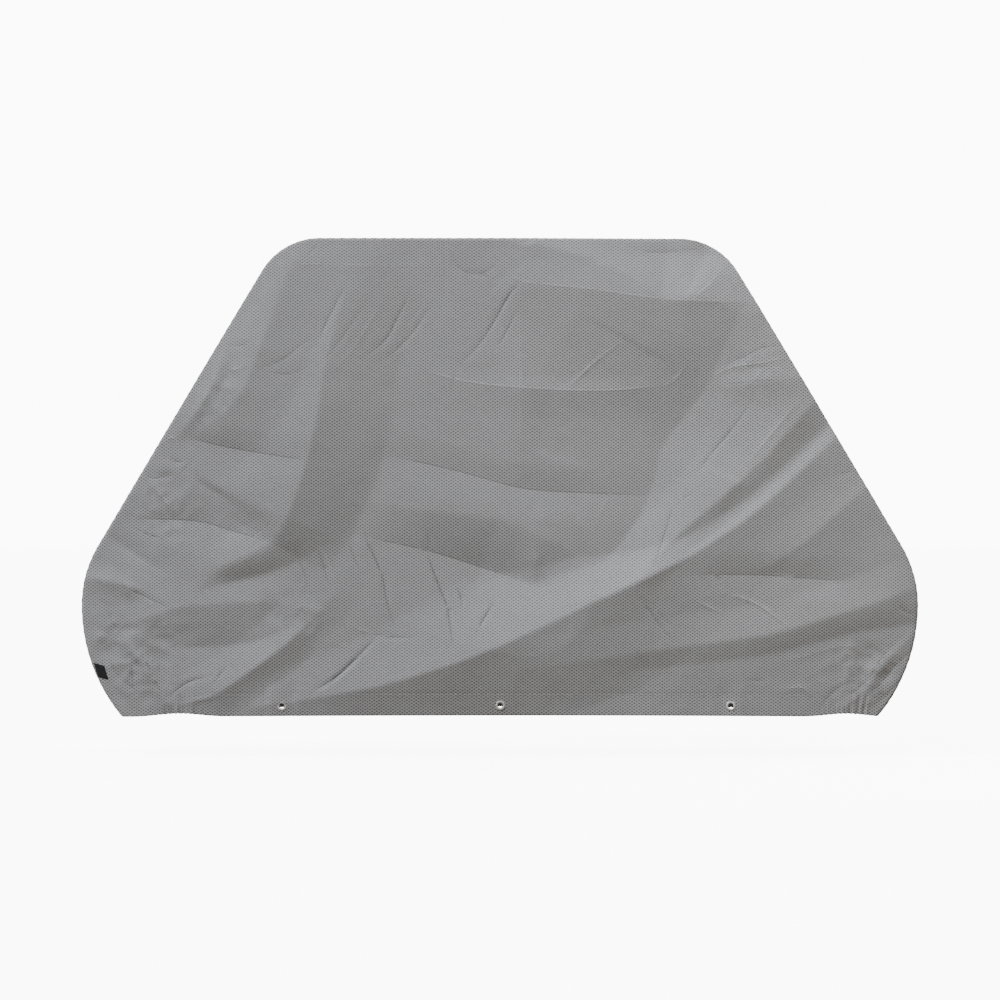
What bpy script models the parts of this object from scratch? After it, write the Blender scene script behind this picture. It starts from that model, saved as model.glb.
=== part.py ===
"""Fitted cloth cover for two bicycles that stand side by side.

Two folded side panels are joined by a gusset that runs up one end, over the
top and down the other. A hem strip along the foot of each panel carries three
metal eyelets, and a small woven tab is sewn on at the lower left edge.

Metres, +Z up. X runs along the cover, the front panel faces -Y, and the
origin is on the underside of the top, at its middle.
"""
import math

import bmesh
import bpy
import numpy as np
from mathutils import Vector
from mathutils.bvhtree import BVHTree

MM = 0.001

# Driving dimensions. Heights are measured up from the hem.
HEIGHT = 1.098            # hem to the straight top edge
HALF_LENGTH = 0.960       # middle to the widest point
WIDEST_AT = 0.2565        # height of the widest point
SLOPE = math.radians(31)  # end slopes, away from upright
CORNER_RADIUS = 0.155     # round corner between the top and a slope
END_RADIUS = 0.267        # bend between a slope and the widest point
FOOT_RADIUS = 0.400       # inward turn from the widest point to the hem
HALF_DEPTH = 0.330        # middle plane to a panel, where the cover is deepest
DEEPEST_AT = 0.450        # height of that place
END_NARROWING = 0.22      # share of the depth lost at the ends
END_FULLNESS = 3          # how late towards the ends it is lost
TOP_NARROWING = 0.05      # share lost at the top
HEM_NARROWING = 0.07      # share lost at the hem, drawn in by its elastic
HEM_ARCH = 0.006          # rise of the hem at mid length
ARCH_REACH = 0.5          # height over which that rise dies out
TOP_SAG = 0.014           # dip of the gusset between the panels, on top
END_SAG = 0.007           # and on the ends
SAG_CHANGE = 0.1          # height below the round corners over which the dip changes

CLOTH = 0.002             # thickness of every sheet
SEAM_GAP = 0.0008         # clearance between a panel and the gusset
HEM_GAP = 0.0009          # clearance between a panel and its hem strip
ORIGIN_HEIGHT = HEIGHT - TOP_SAG - CLOTH

HEM_DEPTH = 0.045         # height of the hem strips
EYELET_PLACES = (-0.498, 0.001, 0.528)
EYELET_HEIGHT = 0.024     # above the hem's edge
EYELET_FLAT = 0.020       # half width of the flat stretch that carries an eyelet
EYELET_LEVEL = 0.034      # half width over which the hem is level round it
EYELET_BORE = 0.0065      # radius of the hole
EYELET_WALL = 0.0008      # barrel and flange thickness
EYELET_FLANGE = 0.0108    # flange radius
EYELET_CLEARANCE = 0.0003
EYELET_SIDES = 16
CUTTER_DEPTH = 0.02

LABEL_SIZE = (0.025, 0.033)
LABEL_AT = (-0.9140, 0.1063)
LABEL_TILT = math.radians(-15)   # of its upper and lower edges
LABEL_LEAN = math.radians(17)    # of its side edges
LABEL_CLOTH = 0.001
LABEL_LIFT = 0.0005

PANEL_ROWS = (6, 4, 16, 5)    # on the foot, end bend, slope and top corner
FRONT_COLUMNS = 56
BACK_COLUMNS = 36
GUSSET_COLUMNS = 5            # across the gusset
GUSSET_TOP = 28               # along its straight top
HEM_STEPS = 9                 # along a hem strip between two flat stretches
LABEL_STEPS = 5
PATH_STEPS = 6                # between two points of a fold's path

EDGE_CALM = 0.050             # folds die down over this distance to a seam
EDGE_SHARE = 0.80             # and keep this share of their rise at it

# Folds, in millimetres: a path from left to right, given as (x, height) points,
# the rise out of the panel at each point, the width of the flank above and below
# the path (one number, or one for each point), and how hollow the flanks are (1
# is straight). A negative rise is a valley.
FRONT_FOLDS = (
    ("long crest",
     ((-560, 20), (-281, 68), (-37, 146), (203, 258), (342, 324), (450, 381), (589, 477), (763, 637)),
     (3, 16, 28, 29, 24, 16, 13, 9),
     (60, 125, 175, 115, 66, 44, 36, 34), (60, 125, 195, 230, 205, 170, 140, 110), 1.3),
    ("upper left crest",
     ((-712, 640), (-650, 682), (-590, 745), (-545, 850), (-510, 950), (-475, 1035)),
     (3, 10, 16, 18, 13, 6), 210, 112, 1.15),
    ("column crest",
     ((-519, 401), (-485, 460), (-440, 585), (-412, 720), (-398, 810), (-355, 960)),
     (10, 27, 34, 30, 25, 14), (150, 240, 310, 320, 300, 260), (130, 150, 165, 170, 165, 160), 1.1),
    ("foot of the column",
     ((-692, 292), (-640, 338), (-580, 368), (-510, 402)),
     (2, 5, 7, 4), 70, 62, 1.3),
    ("wedge valley",
     ((-685, 292), (-600, 312), (-500, 340), (-400, 392)),
     (-2, -6, -4, -1), 50, 60, 1.5),
    ("shelf",
     ((-815, 228), (-740, 250), (-624, 263), (-540, 262), (-450, 250)),
     (4, 5, 4, 3, 1), 60, (64, 60, 50, 40, 30), 1.3),
    ("shelf foot",
     ((-790, 165), (-680, 160), (-560, 172), (-470, 210)),
     (-2, -7, -6, -2), 60, 90, 1.4),
    ("lower left curl",
     ((-735, 16), (-650, 52), (-560, 112), (-480, 175), (-385, 272)),
     (3, 8, 12, 12, 3), 80, 62, 1.4),
    ("end ridge",
     ((-955, 322), (-900, 313), (-850, 300), (-780, 280)),
     (5, 8, 6, 1), 42, 55, 1.6),
    ("end hollow",
     ((-915, 430), (-850, 385), (-780, 340)),
     (-3, -7, -3), 55, 45, 1.6),
    ("corner gather",
     ((-855, 168), (-815, 120), (-790, 78), (-766, 28)),
     (3, 8, 8, 5), 34, 30, 1.5),
    ("handlebar curl",
     ((312, 302), (352, 360), (415, 426), (512, 510), (602, 594), (690, 692), (745, 752)),
     (1, 7, 11, 11, 12, 14, 10), (90, 90, 90, 110, 170, 210, 200),
     (50, 50, 50, 52, 58, 64, 64), 1.2),
    ("handlebar valley",
     ((75, 303), (150, 332), (240, 362), (300, 432), (345, 520), (372, 620), (430, 700),
      (478, 765), (515, 860), (575, 970)),
     (-3, -6, -10, -16, -22, -25, -26, -21, -12, -5), (130, 140, 150, 200, 280, 320, 340, 350, 340, 300),
     (70, 70, 80, 110, 160, 200, 220, 200, 140, 90), 1.15),
    ("right light band",
     ((590, 335), (700, 405), (770, 470), (835, 525)),
     (2, 8, 9, 5), 75, 105, 1.4),
    ("right valley",
     ((440, 327), (600, 325), (700, 318), (800, 312)),
     (-2, -6, -6, -2), 55, 60, 1.5),
    ("right low crest",
     ((40, 105), (170, 122), (300, 143), (450, 165), (620, 190), (760, 232), (880, 270), (955, 298)),
     (1, 3, 5, 8, 10, 10, 9, 5), 75, 130, 1.2),
    ("right low valley",
     ((300, 103), (600, 140), (800, 190), (955, 214)),
     (-2, -4, -5, -4), 50, 95, 1.4),
    ("right gather",
     ((790, 18), (835, 58), (875, 112), (945, 190)),
     (2, 3, 4, 2), 30, 34, 1.5),
    ("top right crease",
     ((18, 1020), (55, 997), (200, 981), (320, 964), (420, 954), (565, 952)),
     (2, 5, 8, 15, 20, 14), (50, 55, 65, 95, 112, 105), (90, 110, 150, 240, 300, 300), 1.1),
    ("top right facet",
     ((80, 1104), (200, 1104), (300, 1102), (385, 1098), (480, 1080), (560, 1020)),
     (-8, -24, -37, -44, -40, -14), 120, (18, 52, 92, 140, 128, 90), 1.1),
    ("facet edge",
     ((440, 957), (480, 992), (512, 1032)),
     (2, 6, 3), 55, 50, 1.5),
    ("middle crease",
     ((-165, 792), (-60, 766), (100, 752), (250, 749), (370, 760)),
     (1, 2, 4, 4, 1), 32, 70, 1.4),
    ("middle crease end",
     ((480, 757), (560, 765), (700, 783)),
     (1, 5, 4), 40, 60, 1.5),
    ("mid left valley",
     ((-712, 640), (-620, 618), (-540, 604), (-435, 587)),
     (-3, -6, -6, -3), 55, 90, 1.4),
    ("centre valley",
     ((-245, 598), (-100, 565), (50, 525), (180, 515), (332, 509)),
     (-3, -5, -6, -6, -2), 60, 75, 1.4),
    ("low left valley",
     ((-852, 456), (-700, 450), (-620, 430), (-530, 402)),
     (-3, -7, -8, -2), 65, 80, 1.4),
    ("low centre valley",
     ((-312, 415), (-160, 380), (-40, 342), (75, 305)),
     (-3, -15, -25, -17), (80, 95, 120, 110), (150, 175, 185, 170), 1.1),
    ("left edge roll",
     ((-728, 652), (-690, 705), (-655, 765), (-622, 858)),
     (3, 6, 6, 2), 45, 26, 1.5),
    ("upright crease",
     ((45, 600), (48, 760), (44, 965)),
     (1, 4, 1), 70, 85, 1.6),
    ("low upright crease",
     ((80, 305), (82, 360), (88, 440)),
     (2, 6, 1), 60, 110, 1.6),
)
BACK_FOLDS = (
    ("long crest",
     ((-720, 560), (-520, 420), (-300, 300), (0, 185), (330, 92), (640, 30)),
     (6, 14, 18, 20, 16, 4), 85, 80, 1.7),
    ("second crest", ((-850, 330), (-560, 235), (-250, 120), (60, 55)), (8, 14, 12, 3), 80, 70, 1.7),
    ("saddle crest", ((-560, 640), (-420, 830), (-310, 1040)), (5, 14, 5), 90, 120, 1.7),
    ("saddle valley", ((-320, 480), (-230, 700), (-150, 930)), (-4, -10, -5), 100, 100, 1.7),
    ("right crest", ((420, 1020), (520, 800), (640, 590), (760, 470)), (4, 13, 13, 4), 90, 90, 1.7),
    ("right valley", ((300, 760), (430, 560), (620, 380)), (-5, -11, -4), 100, 100, 1.7),
    ("upper crease", ((-480, 985), (-100, 968), (300, 975), (520, 958)), (4, 6, 6, 4), 70, 80, 1.7),
    ("middle crease", ((-640, 772), (-200, 755), (240, 748), (690, 765)), (3, 6, 6, 3), 75, 80, 1.7),
    ("lower crease", ((-780, 512), (-330, 520), (180, 508), (790, 520)), (-3, -6, -6, -3), 75, 80, 1.7),
    ("corner gather", ((780, 30), (850, 120), (930, 230)), (6, 12, 4), 45, 45, 1.7),
)
# Wrinkles across the gusset: place along it as a share of its run, half width
# and rise in millimetres, and slant from the front seam to the back as a share
# of the run.
GUSSET_WRINKLES = (
    (0.05, 60, 6, 0.012), (0.13, 70, 5, -0.010), (0.22, 90, 7, 0.014),
    (0.31, 60, -5, 0.006), (0.40, 80, 6, -0.016), (0.48, 110, -5, 0.010),
    (0.56, 70, 5, 0.014), (0.66, 60, -5, -0.008), (0.75, 90, 7, -0.014),
    (0.85, 70, 6, 0.012), (0.94, 60, 6, -0.010),
)

CLOTH_GREY = (0.255, 0.255, 0.262, 1.0)
NICKEL = (0.78, 0.78, 0.76, 1.0)
LABEL_BLACK = (0.012, 0.012, 0.013, 1.0)


def smooth(share):
    share = np.clip(share, 0.0, 1.0)
    return share * share * (3.0 - 2.0 * share)


# ---------------------------------------------------------------- the outline
BEND_FOOT = WIDEST_AT + END_RADIUS * math.sin(SLOPE)
BEND_HALF = HALF_LENGTH - END_RADIUS * (1 - math.cos(SLOPE))
CORNER_TURN = math.pi / 2 - SLOPE
CORNER_FOOT = HEIGHT - CORNER_RADIUS * (1 - math.cos(CORNER_TURN))
CORNER_HALF = BEND_HALF - (CORNER_FOOT - BEND_FOOT) * math.tan(SLOPE)
TOP_HALF = CORNER_HALF - CORNER_RADIUS * math.sin(CORNER_TURN)


def half_length(height):
    """Half length of the cover at a height: foot arc, end bend, slope, corner arc."""
    height = np.asarray(height, dtype=float)
    foot = HALF_LENGTH - FOOT_RADIUS + np.sqrt(
        np.maximum(FOOT_RADIUS ** 2 - (WIDEST_AT - height) ** 2, 0))
    bend = HALF_LENGTH - END_RADIUS + np.sqrt(
        np.maximum(END_RADIUS ** 2 - (height - WIDEST_AT) ** 2, 0))
    slope = BEND_HALF - (height - BEND_FOOT) * math.tan(SLOPE)
    corner = TOP_HALF + np.sqrt(
        np.maximum(CORNER_RADIUS ** 2 - (height - HEIGHT + CORNER_RADIUS) ** 2, 0))
    return np.select([height < WIDEST_AT, height < BEND_FOOT, height < CORNER_FOOT],
                     [foot, bend, slope], corner)


def row_heights(start):
    """Heights of the mesh rows from start to the top, even along each stretch."""
    foot_start = math.asin((WIDEST_AT - start) / FOOT_RADIUS)
    foot = [WIDEST_AT - FOOT_RADIUS * math.sin(angle)
            for angle in np.linspace(foot_start, 0, PANEL_ROWS[0] + 1)]
    bend = [WIDEST_AT + END_RADIUS * math.sin(angle)
            for angle in np.linspace(0, SLOPE, PANEL_ROWS[1] + 1)]
    slope = list(np.linspace(BEND_FOOT, CORNER_FOOT, PANEL_ROWS[2] + 1))
    corner = [HEIGHT - CORNER_RADIUS * (1 - math.cos(angle))
              for angle in np.linspace(CORNER_TURN, 0, PANEL_ROWS[3] + 1)]
    return np.array(foot + bend[1:] + slope[1:] + corner[1:])


# ------------------------------------------------------------------ the folds
def fold_path(points):
    """Evenly rounded path through the points of a fold (Catmull-Rom), with each
    sample's place along it counted in points."""
    points = np.array(points, dtype=float) * MM
    first = 2 * points[0] - points[1]
    last = 2 * points[-1] - points[-2]
    knots = np.vstack([first, points, last])
    samples = []
    places = []
    for index in range(len(points) - 1):
        before, start, end, after = knots[index:index + 4]
        for step in range(PATH_STEPS):
            t = step / PATH_STEPS
            samples.append(0.5 * (2 * start + (end - before) * t
                                  + (2 * before - 5 * start + 4 * end - after) * t ** 2
                                  + (3 * start - before - 3 * end + after) * t ** 3))
            places.append(index + t)
    samples.append(points[-1])
    places.append(len(points) - 1)
    return np.array(samples), np.array(places)


def fold_rise(fold, x, height):
    """Rise of one fold at the points (x, height)."""
    _, points, rises, above, below, fall = fold
    steps = range(len(rises))
    samples, places = fold_path(points)
    nearest = np.full(x.shape, np.inf)
    tilt = np.zeros(x.shape)
    place = np.zeros(x.shape)
    for index in range(len(samples) - 1):
        start = samples[index]
        run = samples[index + 1] - start
        along = ((x - start[0]) * run[0] + (height - start[1]) * run[1]) / (run @ run)
        along = np.clip(along, 0, 1)
        off_x = x - start[0] - along * run[0]
        off_h = height - start[1] - along * run[1]
        distance = np.hypot(off_x, off_h)
        closer = distance < nearest
        nearest = np.where(closer, distance, nearest)
        upward = (run[0] * off_h - run[1] * off_x) / np.maximum(distance * np.hypot(*run), 1e-9)
        tilt = np.where(closer, upward, tilt)
        place = np.where(closer, places[index] + along * (places[index + 1] - places[index]), place)
    width_above, width_below = (np.interp(place, steps, np.broadcast_to(width, len(steps)))
                                for width in (above, below))
    width = (width_above * (1 + tilt) + width_below * (1 - tilt)) / 2 * MM
    flank = np.clip(1 - nearest / width, 0, 1) ** fall
    return np.interp(place, steps, np.array(rises) * MM) * flank


def half_depth(x, height, folds):
    """Distance of a panel's outer face from the middle plane."""
    x = np.asarray(x, dtype=float)
    height = np.broadcast_to(np.asarray(height, dtype=float), x.shape)
    along = 1 - END_NARROWING * (np.abs(x) / HALF_LENGTH) ** END_FULLNESS
    above = np.clip((height - DEEPEST_AT) / (HEIGHT - DEEPEST_AT), 0, 1)
    below = np.clip((DEEPEST_AT - height) / DEEPEST_AT, 0, 1)
    depth = HALF_DEPTH * along * (1 - TOP_NARROWING * above ** 2 - HEM_NARROWING * below ** 2)
    to_seam = np.minimum(HEIGHT - height, (half_length(height) - np.abs(x)) * math.cos(SLOPE))
    calm = EDGE_SHARE + (1 - EDGE_SHARE) * smooth(to_seam / EDGE_CALM)
    return depth + calm * sum(fold_rise(fold, x, height) for fold in folds)


def lifted(x, height):
    """Height with the hem's arch, which dies out further up."""
    arch = HEM_ARCH * np.clip(1 - (x / HALF_LENGTH) ** 2, 0, 1)
    return height + arch * smooth(1 - height / ARCH_REACH)


# ------------------------------------------------------------- building pieces
def new_material(name, colour, roughness, metallic=0.0):
    material = bpy.data.materials.new(name)
    material.use_nodes = True
    shader = material.node_tree.nodes["Principled BSDF"]
    shader.inputs["Base Color"].default_value = colour
    shader.inputs["Roughness"].default_value = roughness
    shader.inputs["Metallic"].default_value = metallic
    return material


def add_object(name, mesh, collection, material=None):
    thing = bpy.data.objects.new(name, mesh)
    collection.objects.link(thing)
    if material:
        mesh.materials.append(material)
    return thing


def add_sheet(name, points, thickness, collection, material, flip=False):
    """A sheet through a grid of outer points, indexed [row][column], that gets
    its thickness inwards. Each cell is parted along its shorter diagonal."""
    points = np.array(points)
    rows, columns = points.shape[0] - 1, points.shape[1] - 1
    sheet = bmesh.new()
    bmesh.ops.create_grid(sheet, x_segments=columns, y_segments=rows, size=1.0)
    for vertex in sheet.verts:
        column = round((vertex.co.x + 1) / 2 * columns)
        row = round((vertex.co.y + 1) / 2 * rows)
        vertex.co = points[row, column]
    if flip:
        bmesh.ops.reverse_faces(sheet, faces=sheet.faces)
    bmesh.ops.triangulate(sheet, faces=sheet.faces, quad_method='SHORT_EDGE')
    mesh = bpy.data.meshes.new(name)
    sheet.to_mesh(mesh)
    sheet.free()
    thing = add_object(name, mesh, collection, material)
    solidify = thing.modifiers.new("cloth thickness", 'SOLIDIFY')
    solidify.thickness = thickness
    solidify.offset = -1
    return thing


def panel_points(columns, folds, side):
    """Grid of a side panel's outer face. side is -1 for the front, 1 for the back."""
    heights = row_heights(HEM_DEPTH + HEM_GAP)
    across = np.linspace(-1, 1, columns + 1)
    height = np.repeat(heights[:, None], columns + 1, axis=1)
    x = half_length(height) * across
    y = side * half_depth(x, height, folds)
    return np.stack([x, y, lifted(x, height) - ORIGIN_HEIGHT], axis=-1)


def hem_stations():
    """Places along a hem strip, with a flat stretch either side of each eyelet."""
    limit = float(half_length(EYELET_HEIGHT))
    stops = [-limit]
    for place in EYELET_PLACES:
        stops += [place - EYELET_FLAT, place + EYELET_FLAT]
    stops.append(limit)
    stations = [stops[0]]
    for index, stop in enumerate(stops[1:]):
        steps = 1 if index % 2 else HEM_STEPS
        stations += list(np.linspace(stations[-1], stop, steps + 1)[1:])
    return np.array(stations) / limit


def hem_depth(x, height, folds):
    """Distance of a hem strip from the middle plane, level along each eyelet's flat."""
    held = np.array(x, dtype=float)
    for place in EYELET_PLACES:
        held = np.where(np.abs(x - place) < EYELET_LEVEL, place, held)
    return half_depth(held, height, folds)


def hem_points(folds, side):
    across = hem_stations()
    rows = []
    for height in (0.0, HEM_DEPTH):
        x = across * half_length(height)
        level = np.full(x.shape, height)
        y = side * hem_depth(x, level, folds)
        rows.append(np.stack([x, y, lifted(x, level) - ORIGIN_HEIGHT], axis=-1))
    return np.array(rows)


def gusset_points():
    """Grid of the gusset's outer face, from the left hem over the top to the right."""
    rising = np.concatenate([[0.0], row_heights(HEM_DEPTH + HEM_GAP)])
    left = [(-half_length(height), height) for height in rising]
    top = [(x, HEIGHT) for x in np.linspace(-TOP_HALF, TOP_HALF, GUSSET_TOP + 1)[1:-1]]
    right = [(-x, height) for x, height in reversed(left)]
    run = np.array(left + top + right, dtype=float)
    ahead = np.vstack([run[1:], run[-1:]]) - np.vstack([run[:1], run[:-1]])
    outward = np.stack([-ahead[:, 1], ahead[:, 0]], axis=1)
    outward /= np.linalg.norm(outward, axis=1)[:, None]
    steps = np.linalg.norm(np.diff(run, axis=0), axis=1)
    length = np.concatenate([[0], np.cumsum(steps)])
    on_top = smooth((run[:, 1] - CORNER_FOOT) / SAG_CHANGE + 1)
    sag = END_SAG + (TOP_SAG - END_SAG) * on_top
    inset = CLOTH + SEAM_GAP
    front = -half_depth(run[:, 0], run[:, 1], FRONT_FOLDS) + inset
    back = half_depth(run[:, 0], run[:, 1], BACK_FOLDS) - inset
    columns = []
    for across in np.linspace(0, 1, GUSSET_COLUMNS + 1):
        crown = 4 * across * (1 - across)
        dip = sag * crown
        for place, width, rise, slant in GUSSET_WRINKLES:
            centre = (place + slant * (2 * across - 1)) * length[-1]
            dip = dip - rise * MM * crown * np.clip(
                1 - np.abs(length - centre) / (width * MM), 0, 1) ** 2
        place = run - outward * dip[:, None]
        y = front + (back - front) * across
        columns.append(np.stack([place[:, 0], y, lifted(run[:, 0], place[:, 1]) - ORIGIN_HEIGHT],
                                axis=-1))
    return np.array(columns)


def eyelet_place(place, folds, side):
    """Centre of the cloth's thickness at an eyelet, and the cloth's outward normal."""
    low, high = (Vector((place, side * float(hem_depth(place, height, folds)),
                         float(lifted(place, height)) - ORIGIN_HEIGHT))
                 for height in (0.0, HEM_DEPTH))
    normal = Vector((0, side * (high.z - low.z), -side * (high.y - low.y))).normalized()
    centre = low.lerp(high, EYELET_HEIGHT / HEM_DEPTH) - normal * CLOTH / 2
    return centre, normal


def add_eyelet(name, centre, normal, collection, material):
    """Pressed eyelet: a barrel through the cloth with a flange on each face."""
    groove = CLOTH / 2 + EYELET_CLEARANCE
    face = groove + EYELET_WALL
    barrel = EYELET_BORE + EYELET_WALL
    outline = ((EYELET_BORE, face), (EYELET_FLANGE, face), (EYELET_FLANGE, groove),
               (barrel, groove), (barrel, -groove), (EYELET_FLANGE, -groove),
               (EYELET_FLANGE, -face), (EYELET_BORE, -face))
    profile = bmesh.new()
    corners = [profile.verts.new((radius, 0, height)) for radius, height in outline]
    for start, end in zip(corners, corners[1:] + corners[:1]):
        profile.edges.new((start, end))
    mesh = bpy.data.meshes.new(name)
    profile.to_mesh(mesh)
    profile.free()
    thing = add_object(name, mesh, collection, material)
    thing.location = centre
    thing.rotation_euler = normal.to_track_quat('Z', 'Y').to_euler()
    spin = thing.modifiers.new("turn", 'SCREW')
    spin.axis = 'Z'
    spin.steps = spin.render_steps = EYELET_SIDES
    spin.use_merge_vertices = True
    spin.merge_threshold = 0.00001
    return thing


def cut_eyelet_hole(strip, centre, normal, collection):
    """Hole in a hem strip for an eyelet's barrel."""
    bpy.ops.mesh.primitive_cylinder_add(
        vertices=EYELET_SIDES, depth=CUTTER_DEPTH, location=centre,
        radius=EYELET_BORE + EYELET_WALL + EYELET_CLEARANCE,
        rotation=normal.to_track_quat('Z', 'Y').to_euler())
    cutter = bpy.context.object
    cutter.name = strip.name + "_hole"
    for holder in list(cutter.users_collection):
        holder.objects.unlink(cutter)
    collection.objects.link(cutter)
    cutter.hide_render = True
    cutter.display_type = 'WIRE'
    cut = strip.modifiers.new("eyelet hole", 'BOOLEAN')
    cut.operation = 'DIFFERENCE'
    cut.object = cutter


def label_points(panel):
    """Grid of the label's outer face, laid on the front panel's own facets."""
    bpy.context.view_layer.update()
    panel_tree = BVHTree.FromObject(panel, bpy.context.evaluated_depsgraph_get())
    width, height = LABEL_SIZE
    rows = []
    for up in np.linspace(-0.5, 0.5, LABEL_STEPS + 1):
        row = []
        for along in np.linspace(-0.5, 0.5, LABEL_STEPS + 1):
            turn_x = along * width * math.cos(LABEL_TILT) - up * height * math.sin(LABEL_LEAN)
            turn_h = along * width * math.sin(LABEL_TILT) + up * height * math.cos(LABEL_LEAN)
            start = Vector((LABEL_AT[0] + turn_x, -1.0, LABEL_AT[1] + turn_h - ORIGIN_HEIGHT))
            hit, face_normal, _, _ = panel_tree.ray_cast(start, Vector((0, 1, 0)))
            row.append(hit + face_normal * (LABEL_LIFT + LABEL_CLOTH))
        rows.append(row)
    return rows


def build_cover():
    for thing in list(bpy.data.objects):
        bpy.data.objects.remove(thing, do_unlink=True)
    cover = bpy.data.collections.new("bicycle_cover")
    cutters = bpy.data.collections.new("cutters")
    bpy.context.scene.collection.children.link(cover)
    bpy.context.scene.collection.children.link(cutters)
    grey = {}
    for name in ("front_panel", "back_panel", "gusset", "hem_front", "hem_back"):
        grey[name] = new_material(name + "_cloth", CLOTH_GREY, 0.8)

    front_panel = add_sheet("front_panel", panel_points(FRONT_COLUMNS, FRONT_FOLDS, -1),
                            CLOTH, cover, grey["front_panel"])
    add_sheet("back_panel", panel_points(BACK_COLUMNS, BACK_FOLDS, 1),
              CLOTH, cover, grey["back_panel"], flip=True)
    add_sheet("gusset", gusset_points(), CLOTH, cover, grey["gusset"])

    for side, word, folds in ((-1, "front", FRONT_FOLDS), (1, "back", BACK_FOLDS)):
        name = "hem_" + word
        strip = add_sheet(name, hem_points(folds, side), CLOTH, cover, grey[name],
                          flip=side > 0)
        for number, place in enumerate(EYELET_PLACES, 1):
            centre, normal = eyelet_place(place, folds, side)
            eyelet_name = f"eyelet_{word}_{number}"
            nickel = new_material(eyelet_name + "_nickel", NICKEL, 0.3, 1.0)
            add_eyelet(eyelet_name, centre, normal, cover, nickel)
            cut_eyelet_hole(strip, centre, normal, cutters)

    add_sheet("label", label_points(front_panel), LABEL_CLOTH, cover,
              new_material("label_cloth", LABEL_BLACK, 0.7))


build_cover()
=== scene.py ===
import math

import bpy
import numpy as np
from mathutils import Matrix, Vector, noise
from mathutils.bvhtree import BVHTree


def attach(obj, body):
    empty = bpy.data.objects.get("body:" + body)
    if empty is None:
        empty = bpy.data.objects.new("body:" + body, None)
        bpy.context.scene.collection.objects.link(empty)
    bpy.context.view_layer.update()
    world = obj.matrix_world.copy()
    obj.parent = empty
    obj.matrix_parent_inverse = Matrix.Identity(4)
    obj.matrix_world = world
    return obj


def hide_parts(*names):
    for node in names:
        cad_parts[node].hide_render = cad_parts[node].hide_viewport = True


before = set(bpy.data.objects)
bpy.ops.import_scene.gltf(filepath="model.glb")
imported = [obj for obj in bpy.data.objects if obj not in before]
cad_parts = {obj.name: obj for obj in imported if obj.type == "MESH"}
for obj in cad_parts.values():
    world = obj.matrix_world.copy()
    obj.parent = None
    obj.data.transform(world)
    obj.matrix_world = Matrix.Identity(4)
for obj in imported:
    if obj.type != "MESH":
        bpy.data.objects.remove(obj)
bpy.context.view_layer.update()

# ------------------------------------------------ front panel
# One cut of grey coated polyester, about 1 mm thick with its coating, woven with a small dot
# pattern. It hangs from the top seam over two bicycles, whose saddles and handlebars push out the
# long slanting folds, and the fine creases are left from the way the cover is packed away.
MM = 0.001
HEIGHT = 1.098            # hem to the straight top edge; heights are measured up from the hem
HALF_LENGTH = 0.960       # middle to the widest point
WIDEST_AT = 0.2565        # height of the widest point
SLOPE = math.radians(31)  # end slopes, away from upright
CORNER_RADIUS = 0.155     # round corner between the top and a slope
END_RADIUS = 0.267        # bend between a slope and the widest point
FOOT_RADIUS = 0.400       # inward turn from the widest point to the hem
HALF_DEPTH = 0.330        # middle plane to a panel, where the cover is deepest
DEEPEST_AT = 0.450
END_NARROWING = 0.22      # shares of the depth lost at the ends, the top and the hem
TOP_NARROWING = 0.05
HEM_NARROWING = 0.07
HEM_ARCH = 0.006          # rise of the hem at mid length
HEM_ARCH_TOP = 0.5        # height where that arch has died out
ORIGIN_HEIGHT = HEIGHT - 0.016
EDGE_CALM = 0.050         # folds die down over this distance to a seam
EDGE_SHARE = 0.80         # and keep this share of their rise at it

CLOTH = 0.001
HEM_TOP = 0.0462          # lowest row of the panel, behind the hem strip
STRIP_TOP = 0.0500        # upper edge of the hem strip, lapped over the panel
HEM_TUCK = 0.0006         # the panel's lower edge is pressed in by this under the strip
SEAM_ROUND = 0.006        # radius of the rounded seam between a panel and the gusset
SEAM_INSET = 0.0022       # each cut stops this far short of the sharp corner
SEAM_FADE = 0.040         # the seam's inset dies out over this distance
SEAM_GROOVE = 0.0005
SNAP = 0.0034             # grid points this near a fold's line are drawn onto it
PINCHED = 0.2             # least share of its area that a mesh cell's corner keeps

PANEL_ROWS = (38, 21, 92, 16)     # on the foot, end bend, slope and top corner
PANEL_MIDDLE_COLUMNS = 170
PANEL_END_COLUMNS = 50            # in each outer quarter, where the hem is gathered
GATHERED_FROM = 0.62              # share of the half length where those begin

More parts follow.
